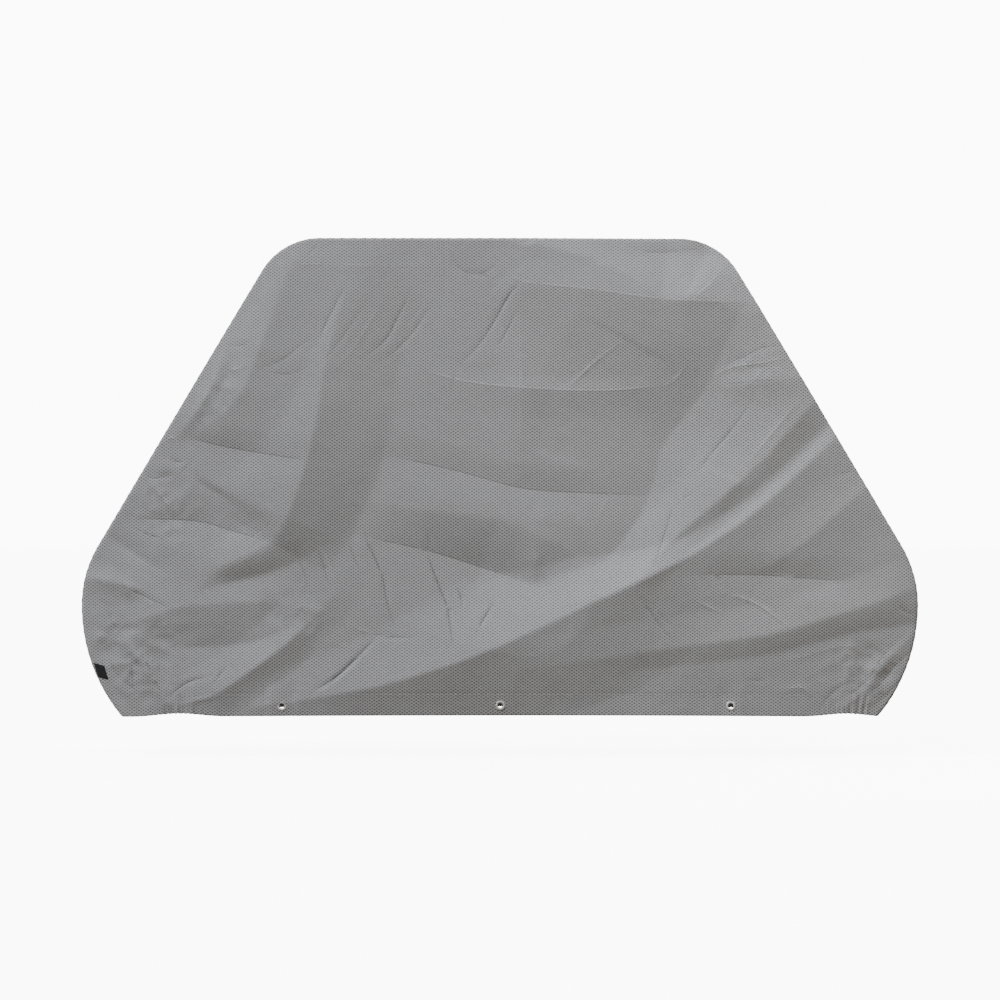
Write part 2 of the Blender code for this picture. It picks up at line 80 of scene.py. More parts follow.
# Folds, in millimetres: x, height and the rise out of the panel at each point of a path from left
# to right, the width of the flank above and below it (one number, or one for each point), and how
# hollow the flanks are (1 is straight). A negative rise is a valley.
FRONT_FOLDS = (
    ("long crest", (-560, 20, 3, -281, 68, 16, -37, 146, 28, 203, 258, 29, 342, 324, 24, 450, 381, 16, 589,
     477, 13, 763, 637, 9), (60, 125, 175, 115, 66, 44, 36, 34), (60, 125, 195, 230, 205, 170, 140, 110),
     1.3),
    ("upper left crest", (-712, 640, 3, -650, 682, 10, -590, 745, 16, -545, 850, 18, -510, 950, 13, -475,
     1035, 6), 210, 112, 1.15),
    ("column crest", (-519, 401, 10, -485, 460, 27, -440, 585, 34, -412, 720, 30, -398, 810, 25, -355, 960,
     14), (150, 240, 310, 320, 300, 260), (130, 150, 165, 170, 165, 160), 1.1),
    ("foot of the column", (-692, 292, 2, -640, 338, 5, -580, 368, 7, -510, 402, 4), 70, 62, 1.3),
    ("wedge valley", (-685, 292, -2, -600, 312, -6, -500, 340, -4, -400, 392, -1), 50, 60, 1.5),
    ("shelf", (-815, 228, 4, -740, 250, 5, -624, 263, 4, -540, 262, 3, -450, 250, 1), 60, (64, 60, 50, 40,
     30), 1.3),
    ("shelf foot", (-790, 165, -2, -680, 160, -7, -560, 172, -6, -470, 210, -2), 60, 90, 1.4),
    ("lower left curl", (-735, 16, 3, -650, 52, 8, -560, 112, 12, -480, 175, 12, -385, 272, 3), 80, 62,
     1.4),
    ("end ridge", (-955, 322, 5, -900, 313, 8, -850, 300, 6, -780, 280, 1), 42, 55, 1.6),
    ("end hollow", (-915, 430, -3, -850, 385, -7, -780, 340, -3), 55, 45, 1.6),
    ("corner gather", (-855, 168, 3, -815, 120, 8, -790, 78, 8, -766, 28, 5), 34, 30, 1.5),
    ("handlebar curl", (312, 302, 1, 352, 360, 7, 415, 426, 11, 512, 510, 11, 602, 594, 12, 690, 692, 14,
     745, 752, 10), (90, 90, 90, 110, 170, 210, 200), (50, 50, 50, 52, 58, 64, 64), 1.2),
    ("handlebar valley", (75, 303, -3, 150, 332, -6, 240, 362, -10, 300, 432, -16, 345, 520, -22, 372, 620,
     -25, 430, 700, -26, 478, 765, -21, 515, 860, -12, 575, 970, -5), (130, 140, 150, 200, 280, 320, 340,
     350, 340, 300), (70, 70, 80, 110, 160, 200, 220, 200, 140, 90), 1.15),
    ("right light band", (590, 335, 2, 700, 405, 8, 770, 470, 9, 835, 525, 5), 75, 105, 1.4),
    ("right valley", (440, 327, -2, 600, 325, -6, 700, 318, -6, 800, 312, -2), 55, 60, 1.5),
    ("right low crest", (40, 105, 1, 170, 122, 3, 300, 143, 5, 450, 165, 8, 620, 190, 10, 760, 232, 10, 880,
     270, 9, 955, 298, 5), 75, 130, 1.2),
    ("right low valley", (300, 103, -2, 600, 140, -4, 800, 190, -5, 955, 214, -4), 50, 95, 1.4),
    ("right gather", (790, 18, 2, 835, 58, 3, 875, 112, 4, 945, 190, 2), 30, 34, 1.5),
    ("top right crease", (18, 1020, 2, 55, 997, 5, 200, 981, 8, 320, 964, 15, 420, 954, 20, 565, 952, 14),
     (50, 55, 65, 95, 112, 105), (90, 110, 150, 240, 300, 300), 1.1),
    ("top right facet", (80, 1104, -8, 200, 1104, -24, 300, 1102, -37, 385, 1098, -44, 480, 1080, -40, 560,
     1020, -14), 120, (18, 52, 92, 140, 128, 90), 1.1),
    ("facet edge", (440, 957, 2, 480, 992, 6, 512, 1032, 3), 55, 50, 1.5),
    ("middle crease", (-165, 792, 1, -60, 766, 2, 100, 752, 4, 250, 749, 4, 370, 760, 1), 32, 70, 1.4),
    ("middle crease end", (480, 757, 1, 560, 765, 5, 700, 783, 4), 40, 60, 1.5),
    ("mid left valley", (-712, 640, -3, -620, 618, -6, -540, 604, -6, -435, 587, -3), 55, 90, 1.4),
    ("centre valley", (-245, 598, -3, -100, 565, -5, 50, 525, -6, 180, 515, -6, 332, 509, -2), 60, 75, 1.4),
    ("low left valley", (-852, 456, -3, -700, 450, -7, -620, 430, -8, -530, 402, -2), 65, 80, 1.4),
    ("low centre valley", (-312, 415, -3, -160, 380, -15, -40, 342, -25, 75, 305, -17), (80, 95, 120, 110),
     (150, 175, 185, 170), 1.1),
    ("left edge roll", (-728, 652, 3, -690, 705, 6, -655, 765, 6, -622, 858, 2), 45, 26, 1.5),
    ("upright crease", (45, 600, 1, 48, 760, 4, 44, 965, 1), 70, 85, 1.6),
    ("low upright crease", (80, 305, 2, 82, 360, 6, 88, 440, 1), 60, 110, 1.6),
)

# Fine creases, in millimetres: half width, then x, height and rise at each point.
FRONT_CREASES = (
    (26, -500, 1036, 0.6, -400, 1036, 1.5, -300, 1033, 1, -160, 1034, 0.3),
    (14, -560, 795, -0.6, -500, 815, -3, -455, 850, -2, -428, 870, -0.6),
    (12, -545, 792, -0.6, -480, 785, -2, -435, 803, -0.6),
    (17, -420, 848, -1, -392, 910, -3.5, -366, 962, -3, -350, 992, -0.6),
    (13, -405, 808, -0.6, -365, 860, -2, -335, 905, -2, -305, 950, -0.6),
    (11, -380, 790, 0.6, -330, 850, 1.5, -290, 915, 1.5, -262, 965, 0.6),
    (12, -315, 818, -1, -262, 862, -4, -235, 910, -4, -204, 972, -1),
    (10, -275, 808, -0.6, -232, 845, -3, -190, 892, -3.5, -155, 952, -1),
    (8, -212, 900, -0.6, -192, 925, -1.5, -174, 955, -0.6),
    (17, -290, 960, -0.3, -262, 1010, -1, -240, 1060, -0.3),
    (17, -130, 935, -0.3, -127, 1010, -1.5, -128, 1092, -1),
    (12, -112, 1046, -0.6, -76, 1018, -2, -32, 1019, -2, 0, 1044, -0.6),
    (8, -68, 1018, -0.6, -40, 1010, -1.5, -2, 1001, -0.6),
    (11, -97, 803, -1, -50, 850, -5, -16, 900, -5, 20, 962, -4, 46, 997, -0.6),
    (9, -10, 838, -0.6, 15, 882, -3, 46, 942, -0.6),
    (10, -122, 720, -0.3, -108, 765, -1.5, -97, 803, -0.6),
    (9, 155, 754, 0.6, 182, 780, 3, 215, 812, 3, 280, 862, 0.6),
    (13, 372, 757, 0.6, 402, 775, 2, 432, 818, 0.3),
    (10, 295, 1077, -0.6, 350, 1066, -2, 440, 1072, -1.5, 482, 1082, -0.6),
    (9, 508, 1028, -0.6, 532, 998, -2, 546, 962, -0.6),
    (10, 480, 778, 0.6, 535, 803, 3, 600, 812, 3, 668, 828, 1),
    (10, 500, 800, -0.6, 560, 826, -2, 600, 846, -2, 645, 852, -1),
    (8, 574, 764, 0.6, 594, 790, 2, 616, 805, 0.6),
    (8, 490, 760, -0.6, 570, 767, -2, 655, 775, -1.5),
    (12, 438, 545, -0.6, 490, 612, -3.5, 532, 662, -3.5, 578, 728, -0.6),
    (24, 560, 575, 0.6, 620, 650, 3.5, 690, 735, 1),
    (13, 768, 553, -0.6, 795, 562, -2, 825, 561, -1),
    (11, 350, 340, -0.6, 366, 390, -3, 384, 445, -3, 396, 495, -0.6),
    (8, 408, 490, -0.3, 424, 505, -1.5, 446, 512, -0.3),
    (10, 308, 285, -0.6, 335, 252, -3, 365, 208, -3, 402, 162, -0.6),
    (8, 342, 270, -0.3, 372, 228, -2, 402, 196, -0.3),
    (8, 440, 274, 0.3, 478, 251, 3, 514, 237, 0.3),
    (8, 490, 286, 0.3, 540, 277, 2, 590, 258, 3.5, 630, 230, 3.5, 668, 202, 0.6),
    (8, 474, 338, -0.3, 498, 318, -2, 508, 298, -0.3),
    (11, 618, 120, 0.3, 700, 140, 1.5, 770, 160, 1.5, 835, 164, 0.6),
    (22, 635, 58, 0.6, 690, 68, 3.5, 716, 40, 0.6),
    (10, 560, 84, -0.3, 590, 82, -1.5, 625, 87, -0.3),
    (13, 735, 20, -0.6, 765, 55, -2, 800, 78, -2, 818, 80, -0.6),
    (19, 772, 30, -1, 820, 62, -2.5, 852, 98, -3, 885, 148, -2.5, 950, 206, -1.5),
    (16, 845, 45, -1, 880, 84, -3.5, 915, 125, -3, 948, 152, -1.5),
    (13, 858, 24, -1, 890, 52, -2.5, 920, 84, -1.5),
    (14, 905, 272, -0.6, 925, 246, -3.5, 957, 232, -1.5),
    (11, -166, 378, -2, -150, 330, -5.5, -135, 290, -7, -120, 250, -7, -112, 200, -4.5, -105, 150, -1),
    (8, -122, 251, -1, -106, 244, -2, -97, 226, -0.3),
    (8, -102, 300, -0.6, -89, 275, -5, -85, 232, -0.6),
    (8, -60, 178, -0.6, -35, 225, -5, -8, 272, -0.6),
    (12, -312, 415, -2, -285, 365, -5, -265, 310, -4.5, -257, 260, -3.5, -234, 182, -0.6),
    (10, -350, 408, -0.6, -331, 362, -3, -317, 325, -0.6),
    (12, -168, 435, -0.3, -163, 405, -2, -166, 378, -1.5),
    (22, -305, 192, -0.6, -250, 182, -3, -188, 180, -0.6),
    (14, -432, 54, -0.6, -380, 84, -6, -330, 130, -7, -282, 180, -2),
    (8, -335, 207, 0.3, -310, 196, 2, -280, 190, 0.6),
    (8, 212, 428, 0.3, 230, 470, 1.5, 252, 512, 0.3),
    (8, -793, 534, 0.3, -770, 505, 3, -741, 470, 0.3),
    (10, -852, 442, -0.6, -802, 418, -3.5, -762, 411, -3, -738, 430, -0.6),
    (8, -892, 311, -0.3, -832, 286, -2, -782, 262, -2, -752, 249, -0.3),
    (13, -940, 215, -0.6, -905, 196, -3, -872, 180, -0.6),
    (11, -900, 245, -0.6, -880, 205, -3, -850, 172, -0.6),
    (10, -835, 165, -0.6, -806, 120, -4, -785, 75, -3.5, -768, 32, -0.6),
    (10, -846, 135, -0.6, -841, 90, -3.5, -834, 45, -0.6),
    (10, -875, 98, -0.6, -848, 70, -3.5, -822, 46, -0.6),
    (11, -900, 150, -0.6, -885, 110, -3, -860, 72, -0.6),
    (9, -812, 150, -0.6, -788, 120, -3, -770, 95, -0.6),
    (14, -762, 38, -0.6, -715, 76, -4.5, -662, 94, -1),
    (8, -656, 68, -0.3, -641, 94, -3, -624, 118, -0.3),
    (10, -735, 20, 0.6, -690, 36, 3, -640, 46, 0.6),
    (8, -466, 372, -0.3, -446, 330, -3, -438, 288, -0.3),
    (9, -416, 388, -0.6, -400, 340, -3.5, -386, 283, -0.6),
    (8, -402, 385, 0.3, -388, 345, 2, -372, 300, 0.3),
    (8, -566, 418, -0.3, -540, 432, -2, -518, 447, -0.3),
    (20, -630, 803, 0.6, -602, 796, 3, -572, 814, 0.6),
    (19, -626, 853, -0.6, -590, 850, -2, -553, 868, -0.6),
    (13, -775, 628, 0.6, -748, 642, 3.5, -727, 606, 0.6),
    (11, -760, 600, -0.6, -735, 585, -3.5, -700, 598, -0.6),
    (10, -820, 560, -0.6, -790, 548, -3, -752, 556, -0.6),
    (10, -742, 545, -0.3, -715, 575, -2, -692, 605, -0.3),
    (8, -520, 1030, -0.3, -505, 1000, -1.5, -498, 965, -0.3),
    (11, -455, 1040, -0.3, -430, 1065, -1.5, -410, 1095, -0.6),
)
FRONT_CUT = (FRONT_FOLDS, FRONT_CREASES, 3.1)    # with the seed of its rumple
CREASE_FALL = 1.5
CREASE_RISE = 0.45        # share of its rise that a crease takes in the cloth's shape, and of its
CREASE_WIDTH = 0.65       # width; the rest of it shows as the sharp line along it

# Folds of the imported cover, which leave a sharp line along them: how high it stands, in
# millimetres. The fine creases leave a line too, in keeping with their rise.
PRESSED_FOLDS = {
    "top right crease": 0.5, "facet edge": 0.5, "middle crease": 0.6, "middle crease end": 0.5,
    "mid left valley": -0.5, "centre valley": -0.5, "low left valley": -0.5,
    "low centre valley": -0.5, "right valley": -0.4, "foot of the column": -0.3,
    "upright crease": 0.25,
}
LINE_SHARE = 0.21         # of a crease's rise
LINE_MOST = 1.10          # in millimetres
LINE_REACH = 0.012        # distance to the nearest line is kept up to here

# Rumple left in the whole cloth: the size of its lumps and how high they stand, in millimetres.
RUMPLE = ((95, 0.9), (38, 0.40), (15, 0.13))

# Crumpled patches, in millimetres: middle, half width and half height, and rise. Their wrinkles
# are ridges of two sizes.
CRUMPLES = (
    (-870, 150, 200, 200, 2.8), (-770, 500, 110, 170, 2.4), (-650, 760, 80, 140, 2.0),
    (-480, 240, 130, 90, 1.6), (840, 100, 150, 110, 2.6), (590, 800, 110, 60, 1.4),
)
CRUMPLE_SIZES = ((62, 1.0), (27, 0.45))
CRUMPLE_FADE = 0.045

# Stretches of the hem gathered by the elastic inside it: middle and half width in metres.
GATHERS = ((-0.735, 0.105), (0.795, 0.100))
GATHER_PITCH = 0.0205
GATHER_RISE = 0.0016
GATHER_HEIGHT = 0.110     # the tallest pleats die out this far above the hem
GATHER_FAN = 0.55         # how much wider the pleats stand there than at the hem
GATHER_LIFT = 0.006       # how far the elastic draws the hem up

HEM_DEPTH = 0.045
EYELET_PLACES = (-0.498, 0.001, 0.528)
EYELET_FLAT = 0.020       # half width of the level stretch round an eyelet

BEND_FOOT = WIDEST_AT + END_RADIUS * math.sin(SLOPE)
BEND_HALF = HALF_LENGTH - END_RADIUS * (1 - math.cos(SLOPE))
CORNER_TURN = math.pi / 2 - SLOPE
CORNER_FOOT = HEIGHT - CORNER_RADIUS * (1 - math.cos(CORNER_TURN))
CORNER_HALF = BEND_HALF - (CORNER_FOOT - BEND_FOOT) * math.tan(SLOPE)
TOP_HALF = CORNER_HALF - CORNER_RADIUS * math.sin(CORNER_TURN)


def smooth(share):
    share = np.clip(share, 0.0, 1.0)
    return share * share * (3.0 - 2.0 * share)


def half_length(height):
    """Half length of the cover at a height: foot arc, end bend, slope, corner arc."""
    def arc(centre, radius, middle):
        return centre + np.sqrt(np.maximum(radius ** 2 - (height - middle) ** 2, 0))
    slope = BEND_HALF - (height - BEND_FOOT) * math.tan(SLOPE)
    return np.select([height < WIDEST_AT, height < BEND_FOOT, height < CORNER_FOOT],
                     [arc(HALF_LENGTH - FOOT_RADIUS, FOOT_RADIUS, WIDEST_AT),
                      arc(HALF_LENGTH - END_RADIUS, END_RADIUS, WIDEST_AT), slope],
                     arc(TOP_HALF, CORNER_RADIUS, HEIGHT - CORNER_RADIUS))


def seam_distance(x, height):
    """Distance inward from the seam that runs up the ends and over the top."""
    side = np.abs(x)
    corner_x = side - TOP_HALF
    corner_h = height - HEIGHT + CORNER_RADIUS
    end_x = side - HALF_LENGTH + END_RADIUS
    foot_x = side - HALF_LENGTH + FOOT_RADIUS
    up = height - WIDEST_AT
    slope = (BEND_HALF - (height - BEND_FOOT) * math.tan(SLOPE) - side) * math.cos(SLOPE)
    return np.select(
        [(corner_x > 0) & (corner_h > corner_x * math.tan(SLOPE)),
         (up > 0) & (up < end_x * math.tan(SLOPE)), (up <= 0) & (foot_x > 0)],
        [CORNER_RADIUS - np.hypot(corner_x, corner_h), END_RADIUS - np.hypot(end_x, up),
         FOOT_RADIUS - np.hypot(foot_x, up)],
        np.minimum(HEIGHT - height, slope))


def row_heights(start, rows):
    """Heights of the mesh rows from start to the top, even along each stretch."""
    foot_start = math.asin((WIDEST_AT - start) / FOOT_RADIUS)
    foot = WIDEST_AT - FOOT_RADIUS * np.sin(np.linspace(foot_start, 0, rows[0] + 1))
    bend = WIDEST_AT + END_RADIUS * np.sin(np.linspace(0, SLOPE, rows[1] + 1))
    slope = np.linspace(BEND_FOOT, CORNER_FOOT, rows[2] + 1)
    corner = HEIGHT - CORNER_RADIUS * (1 - np.cos(np.linspace(CORNER_TURN, 0, rows[3] + 1)))
    return np.concatenate([foot, bend[1:], slope[1:], corner[1:]])


def fold_path(path):
    """Evenly rounded path through the points of a fold (Catmull-Rom), in metres, with each
    sample's place along it counted in points."""
    points = np.array(path, dtype=float).reshape(-1, 3)[:, :2] * MM
    knots = np.vstack([2 * points[0] - points[1], points, 2 * points[-1] - points[-2]])
    span = np.linspace(0, 1, 6, endpoint=False)[:, None]
    samples = [0.5 * (2 * start + (end - before) * span
                      + (2 * before - 5 * start + 4 * end - after) * span ** 2
                      + (3 * start - before - 3 * end + after) * span ** 3)
               for before, start, end, after in zip(knots, knots[1:], knots[2:], knots[3:])]
    samples = np.concatenate(samples + [points[-1:]])
    return samples, np.linspace(0, len(points) - 1, len(samples))


def near_path(path, reach, x, height):
    """Which of the points (x, height) are about a path, and for each of those the nearest place
    on it: its distance, the sine of its side (above is positive), its place along the path
    counted in points, and where it is."""
    samples, places = fold_path(path)
    low, high = samples.min(axis=0) - reach, samples.max(axis=0) + reach
    reached = (x > low[0]) & (x < high[0]) & (height > low[1]) & (height < high[1])
    x, height = x[reached], height[reached]
    best = [np.full(x.shape, np.inf), np.zeros(x.shape), np.zeros(x.shape), x, height]
    for start, end, here, there in zip(samples, samples[1:], places, places[1:]):
        run = end - start
        along = np.clip(((x - start[0]) * run[0] + (height - start[1]) * run[1]) / (run @ run), 0, 1)
        foot_x = start[0] + along * run[0]
        foot_h = start[1] + along * run[1]
        off = np.hypot(x - foot_x, height - foot_h)
        above = run[0] * (height - foot_h) - run[1] * (x - foot_x)
        side = above / np.maximum(off * np.hypot(*run), 1e-9)
        found = (off, side, here + along * (there - here), foot_x, foot_h)
        closer = off < best[0]
        best = [np.where(closer, new, old) for new, old in zip(found, best)]
    return reached, *best


def fold_rises(folds, x, height, share=1):
    """Summed rise of folds at the points (x, height), or a share of it."""
    total = np.zeros(x.shape)
    for path, above, below, fall in folds:
        rises = np.array(path[2::3]) * share
        reach = max(np.max(above), np.max(below)) * MM
        reached, distance, side, place, _, _ = near_path(path, reach, x, height)
        steps = range(len(rises))
        over, under = (np.interp(place, steps, np.broadcast_to(width, len(steps)))
                       for width in (above, below))
        width = (over * (1 + side) + under * (1 - side)) / 2 * MM
        flank = np.clip(1 - distance / width, 0, 1) ** fall
        total[reached] += np.interp(place, steps, rises) * MM * flank
    return total


def cell_corners(x, height):
    """Twice the signed area of each cell's corner triangles."""
    points = np.stack([x, height])
    corners = [points[:, :-1, :-1], points[:, :-1, 1:], points[:, 1:, 1:], points[:, 1:, :-1]]
    areas = []
    for turn, corner in enumerate(corners):
        before, after = corners[turn - 1] - corner, corners[turn - 3] - corner
        areas.append(after[0] * before[1] - after[1] * before[0])
    return np.array(areas)


def drawn_to_lines(paths, x, height):
    """The points (x, height), with those next to a fold's line drawn onto it, so that the
    mesh has an edge along each crest and trough. Where that pinches a mesh cell, they go back."""
    plain_x, plain_h = x.copy(), height.copy()
    for path in paths:
        reached, distance, _, _, near_x, near_h = near_path(path, SNAP, x, height)
        here_x, here_h = x[reached], height[reached]
        close = (distance < SNAP) & (here_h > HEM_TOP + 2 * SNAP)
        close &= seam_distance(here_x, here_h) > 3 * SNAP
        x[reached] = np.where(close, near_x, here_x)
        height[reached] = np.where(close, near_h, here_h)
    least = PINCHED * cell_corners(plain_x, plain_h)
    for _ in range(4):
        narrow = (cell_corners(x, height) < least).any(axis=0)
        pinched = np.zeros(x.shape, dtype=bool)
        for down, right in ((0, 0), (0, 1), (1, 0), (1, 1)):
            pinched[down:down + narrow.shape[0], right:right + narrow.shape[1]] |= narrow
        x = np.where(pinched, plain_x, x)
        height = np.where(pinched, plain_h, height)
    return x, height


def in_gathers(x):
    """How far inside the gathered stretches of the hem each place is, from 0 to 1."""
    return sum(smooth(1 - np.abs(x - middle) / half) for middle, half in GATHERS)


def uneven(wave, share):
    """1 at most, and less by up to twice a share along a wave."""
    return 1 - share + share * np.sin(wave)


def gathered(x, height):
    """Uneven pleats that fan out upwards where the elastic draws the hem in."""
    rise = np.zeros(x.shape)
    for middle, half in GATHERS:
        place = middle + (x - middle) / (1 + GATHER_FAN * height / GATHER_HEIGHT)
        window = smooth(1 - np.abs(place - middle) / half)
        swing = 2 * math.pi * place / GATHER_PITCH + 2.4 * np.sin(place / 0.0133 + 0.7)
        low = np.clip(1 - height / (GATHER_HEIGHT * uneven(place / 0.0107, 0.38)), 0, 1) ** 1.3
        rise += GATHER_RISE * window * np.sin(swing) * uneven(place / 0.019 + 2, 0.35) * low
    return rise


def lumps(x, height, size, seed):
    """Even noise over the cloth, with lumps of a size in millimetres."""
    return np.array([noise.noise(Vector((a / (size * MM), b / (size * MM), seed)))
                     for a, b in zip(x.ravel(), height.ravel())]).reshape(x.shape)


def rumpled(x, height, seed):
    return sum(amount * MM * lumps(x, height, size, seed) for size, amount in RUMPLE)


def crumpled(x, height, seed):
    """Sharp uneven wrinkles in the crumpled patches, strongest in the middle of each, that die
    out before the seams."""
    rise = np.zeros(x.shape)
    for middle_x, middle_h, half_x, half_h, most in CRUMPLES:
        away = np.hypot((x / MM - middle_x) / half_x, (height / MM - middle_h) / half_h)
        inside = away < 1
        ridges = sum(share * (1 - 4 * np.abs(lumps(x[inside], height[inside], size, seed)))
                     for size, share in CRUMPLE_SIZES)
        rise[inside] += most * MM * smooth(1 - away[inside]) * ridges
    return rise * smooth(seam_distance(x, height) / CRUMPLE_FADE)


def levelled(x, height):
    """x, held at an eyelet's own place next to it, so that the hem is level round the eyelet."""
    held = x.copy()
    for place in EYELET_PLACES:
        held += (place - x) * smooth(2 - np.abs(x - place) / EYELET_FLAT) * smooth(2 - height / HEM_DEPTH)
    return held


def crease_lines(cut, x, height):
    """For the points (x, height): distance to the nearest sharp line, and its rise in mm."""
    folds, creases, _ = cut
    lines = [(path, np.full(len(path) // 3, PRESSED_FOLDS[name])) for name, path, *_ in folds
             if name in PRESSED_FOLDS]
    lines += [(path, np.clip(np.array(path[2::3]) * LINE_SHARE, -LINE_MOST, LINE_MOST))
              for _, *path in creases]
    off, rise = np.full(x.shape, LINE_REACH), np.zeros(x.shape)
    for path, rises in lines:
        reached, distance, _, place, _, _ = near_path(path, LINE_REACH, x, height)
        fade = smooth(np.minimum(place, len(rises) - 1 - place) * 2)
        closer = distance < off[reached]
        off[reached] = np.where(closer, distance, off[reached])
        rise[reached] = np.where(closer, np.interp(place, range(len(rises)), rises) * fade, rise[reached])
    return off, rise


def panel_depth(x, height, cut):
    """Distance of a panel's outer face from the middle plane: its plain shape, and its folds,
    which keep a share of their rise near a seam."""
    x = levelled(x, height)
    folds, creases, seed = cut
    rise = fold_rises([fold[1:] for fold in folds], x, height) + gathered(x, height)
    rise += fold_rises([(path, half * CREASE_WIDTH, half * CREASE_WIDTH, CREASE_FALL)
                        for half, *path in creases], x, height, CREASE_RISE)
    rise += rumpled(x, height, seed) + crumpled(x, height, seed)
    to_seam = np.minimum(HEIGHT - height, (half_length(height) - np.abs(x)) * math.cos(SLOPE))
    calm = EDGE_SHARE + (1 - EDGE_SHARE) * smooth(to_seam / EDGE_CALM)
    along = 1 - END_NARROWING * (np.abs(x) / HALF_LENGTH) ** 3
    above = np.clip((height - DEEPEST_AT) / (HEIGHT - DEEPEST_AT), 0, 1)
    below = np.clip((DEEPEST_AT - height) / DEEPEST_AT, 0, 1)
    plain = HALF_DEPTH * along * (1 - TOP_NARROWING * above ** 2 - HEM_NARROWING * below ** 2)
    return plain + calm * rise


def world_height(x, height):
    """Height above the origin, with the hem's arch and its lift at the gathers."""
    arch = HEM_ARCH * np.clip(1 - (x / HALF_LENGTH) ** 2, 0, 1) * smooth(1 - height / HEM_ARCH_TOP)
    lift = GATHER_LIFT * in_gathers(x) * smooth(1 - height / GATHER_HEIGHT)
    return height + arch + lift - ORIGIN_HEIGHT


def finish_with(piece, kind, **settings):
    """Adds a modifier to a piece and applies it."""
    bpy.context.view_layer.objects.active = piece
    step = piece.modifiers.new(kind.lower(), kind)
    for key, value in settings.items():
        setattr(step, key, value)
    bpy.ops.object.modifier_apply(modifier=step.name)


def cloth_sheet(name, points, pattern, thickness, flip=False, lines=()):
    """A thin closed sheet through a grid of outer points, with its pattern laid out in metres,
    and each point's distance to the nearest sharp crease and that crease's rise."""
    points, pattern = np.array(points), np.array(pattern)
    rows, columns = points.shape[0] - 1, points.shape[1] - 1
    bpy.ops.object.select_all(action='DESELECT')
    bpy.ops.mesh.primitive_grid_add(x_subdivisions=columns, y_subdivisions=rows, size=2)
    piece = bpy.context.object
    piece.name = name
    mesh = piece.data
    mesh.name = name
    flat = np.empty(len(mesh.vertices) * 3)
    mesh.vertices.foreach_get("co", flat)
    flat = flat.reshape(-1, 3)
    column = np.rint((flat[:, 0] + 1) / 2 * columns).astype(int)
    row = np.rint((flat[:, 1] + 1) / 2 * rows).astype(int)
    mesh.vertices.foreach_set("co", points[row, column].ravel())
    corners = np.empty(len(mesh.loops), dtype=np.int32)
    mesh.loops.foreach_get("vertex_index", corners)
    mesh.uv_layers.active.name = "cloth"
    mesh.uv_layers.active.data.foreach_set("uv", pattern[row, column][corners].ravel())
    for key, values in zip(("crease_off", "crease_rise"), lines):
        mesh.attributes.new(key, 'FLOAT', 'POINT').data.foreach_set("value", values[row, column])
    if flip:
        mesh.flip_normals()
    finish_with(piece, 'TRIANGULATE', quad_method='SHORTEST_DIAGONAL')
    finish_with(piece, 'SOLIDIFY', thickness=thickness, offset=-1)
    bpy.ops.object.shade_smooth_by_angle(angle=math.radians(60))
    return piece


def seam_turn(distance):
    """How far the cloth turns in towards the other piece at a rounded seam."""
    turned = np.clip(SEAM_ROUND - distance, 0, SEAM_ROUND)
    groove = SEAM_GROOVE * np.exp(-np.maximum(distance - SEAM_INSET, 0) / 0.002)
    return SEAM_ROUND - np.sqrt(SEAM_ROUND ** 2 - turned ** 2) + groove


def panel_sheet(name, side, cut):
    """A side panel; side is -1 for the front and 1 for the back. Its columns are closer at the
    seams and the gathers."""
    edge = np.array([-1, -0.9982, -0.9955, -0.992])
    outer = np.linspace(-0.987, -GATHERED_FROM, PANEL_END_COLUMNS)
    middle = np.linspace(-GATHERED_FROM, GATHERED_FROM, PANEL_MIDDLE_COLUMNS)
    across = np.concatenate([edge, outer, middle[1:-1], -outer[::-1], -edge[::-1]])
    heights = row_heights(HEM_TOP, PANEL_ROWS)
    height = np.repeat(heights[:, None], len(across), axis=1)
    x = half_length(height) * across
    paths = [fold[1] for fold in cut[0]] + [crease[1:] for crease in cut[1]]
    x, height = drawn_to_lines(paths, x, height)
    depth = panel_depth(x, height, cut)
    depth -= HEM_TUCK * smooth((STRIP_TOP + 0.006 - height) / 0.008)
    pattern = np.stack([x * -side, height], axis=-1)
    sharp = crease_lines(cut, x, height)
    distance = np.maximum(seam_distance(x, height), 0)
    step = 1e-4
    inward_x = (seam_distance(x + step, height) - seam_distance(x - step, height)) / (2 * step)
    inward_h = (seam_distance(x, height + step) - seam_distance(x, height - step)) / (2 * step)
    inset = SEAM_INSET * np.clip(1 - distance / SEAM_FADE, 0, 1)
    x = x + inward_x * inset
    height = height + inward_h * inset
    y = side * (depth - seam_turn(distance + inset))
    points = np.stack([x, y, world_height(x, height)], axis=-1)
    return cloth_sheet(name, points, pattern, CLOTH, flip=side > 0, lines=sharp)


# The cloth's finish: staggered dark dots sunk a little into a paler ground of fine crossed
# threads, with the slight unevenness of a coating. The pattern lies on the cloth's own metres.
GROUND_GREY = (0.395, 0.392, 0.394, 1)
DOT_GREY = (0.045, 0.045, 0.043, 1)
DOT_CELL = (0.0106, 0.0072)       # width and height of the repeat, with a dot more in its middle
DOT_EDGE = (0.02, 0.62)
THREAD_PITCH = 0.0006
PATTERN_DEPTH = 0.00015
LINE_WIDTH = 0.0038       # half width of a sharp crease line
CREASE_PAINTED_LIGHT = 0.33          # how much paler the colour is painted along a ridge 1 mm high, a painted highlight, and darker along a valley, a painted shade


def feed(step, sockets):
    """Gives each named socket of a node a link or a fixed value."""
    for key, value in sockets.items():
        if isinstance(value, bpy.types.NodeSocket):
            step.id_data.links.new(value, step.inputs[key])
        else:
            step.inputs[key].default_value = value


def node(tree, kind, sockets, output=0, **settings):
    """The output of a new shader node."""
    step = tree.nodes.new("ShaderNode" + kind)
    for key, value in settings.items():
        setattr(step, key, value)
    feed(step, sockets)
    return step.outputs[output]


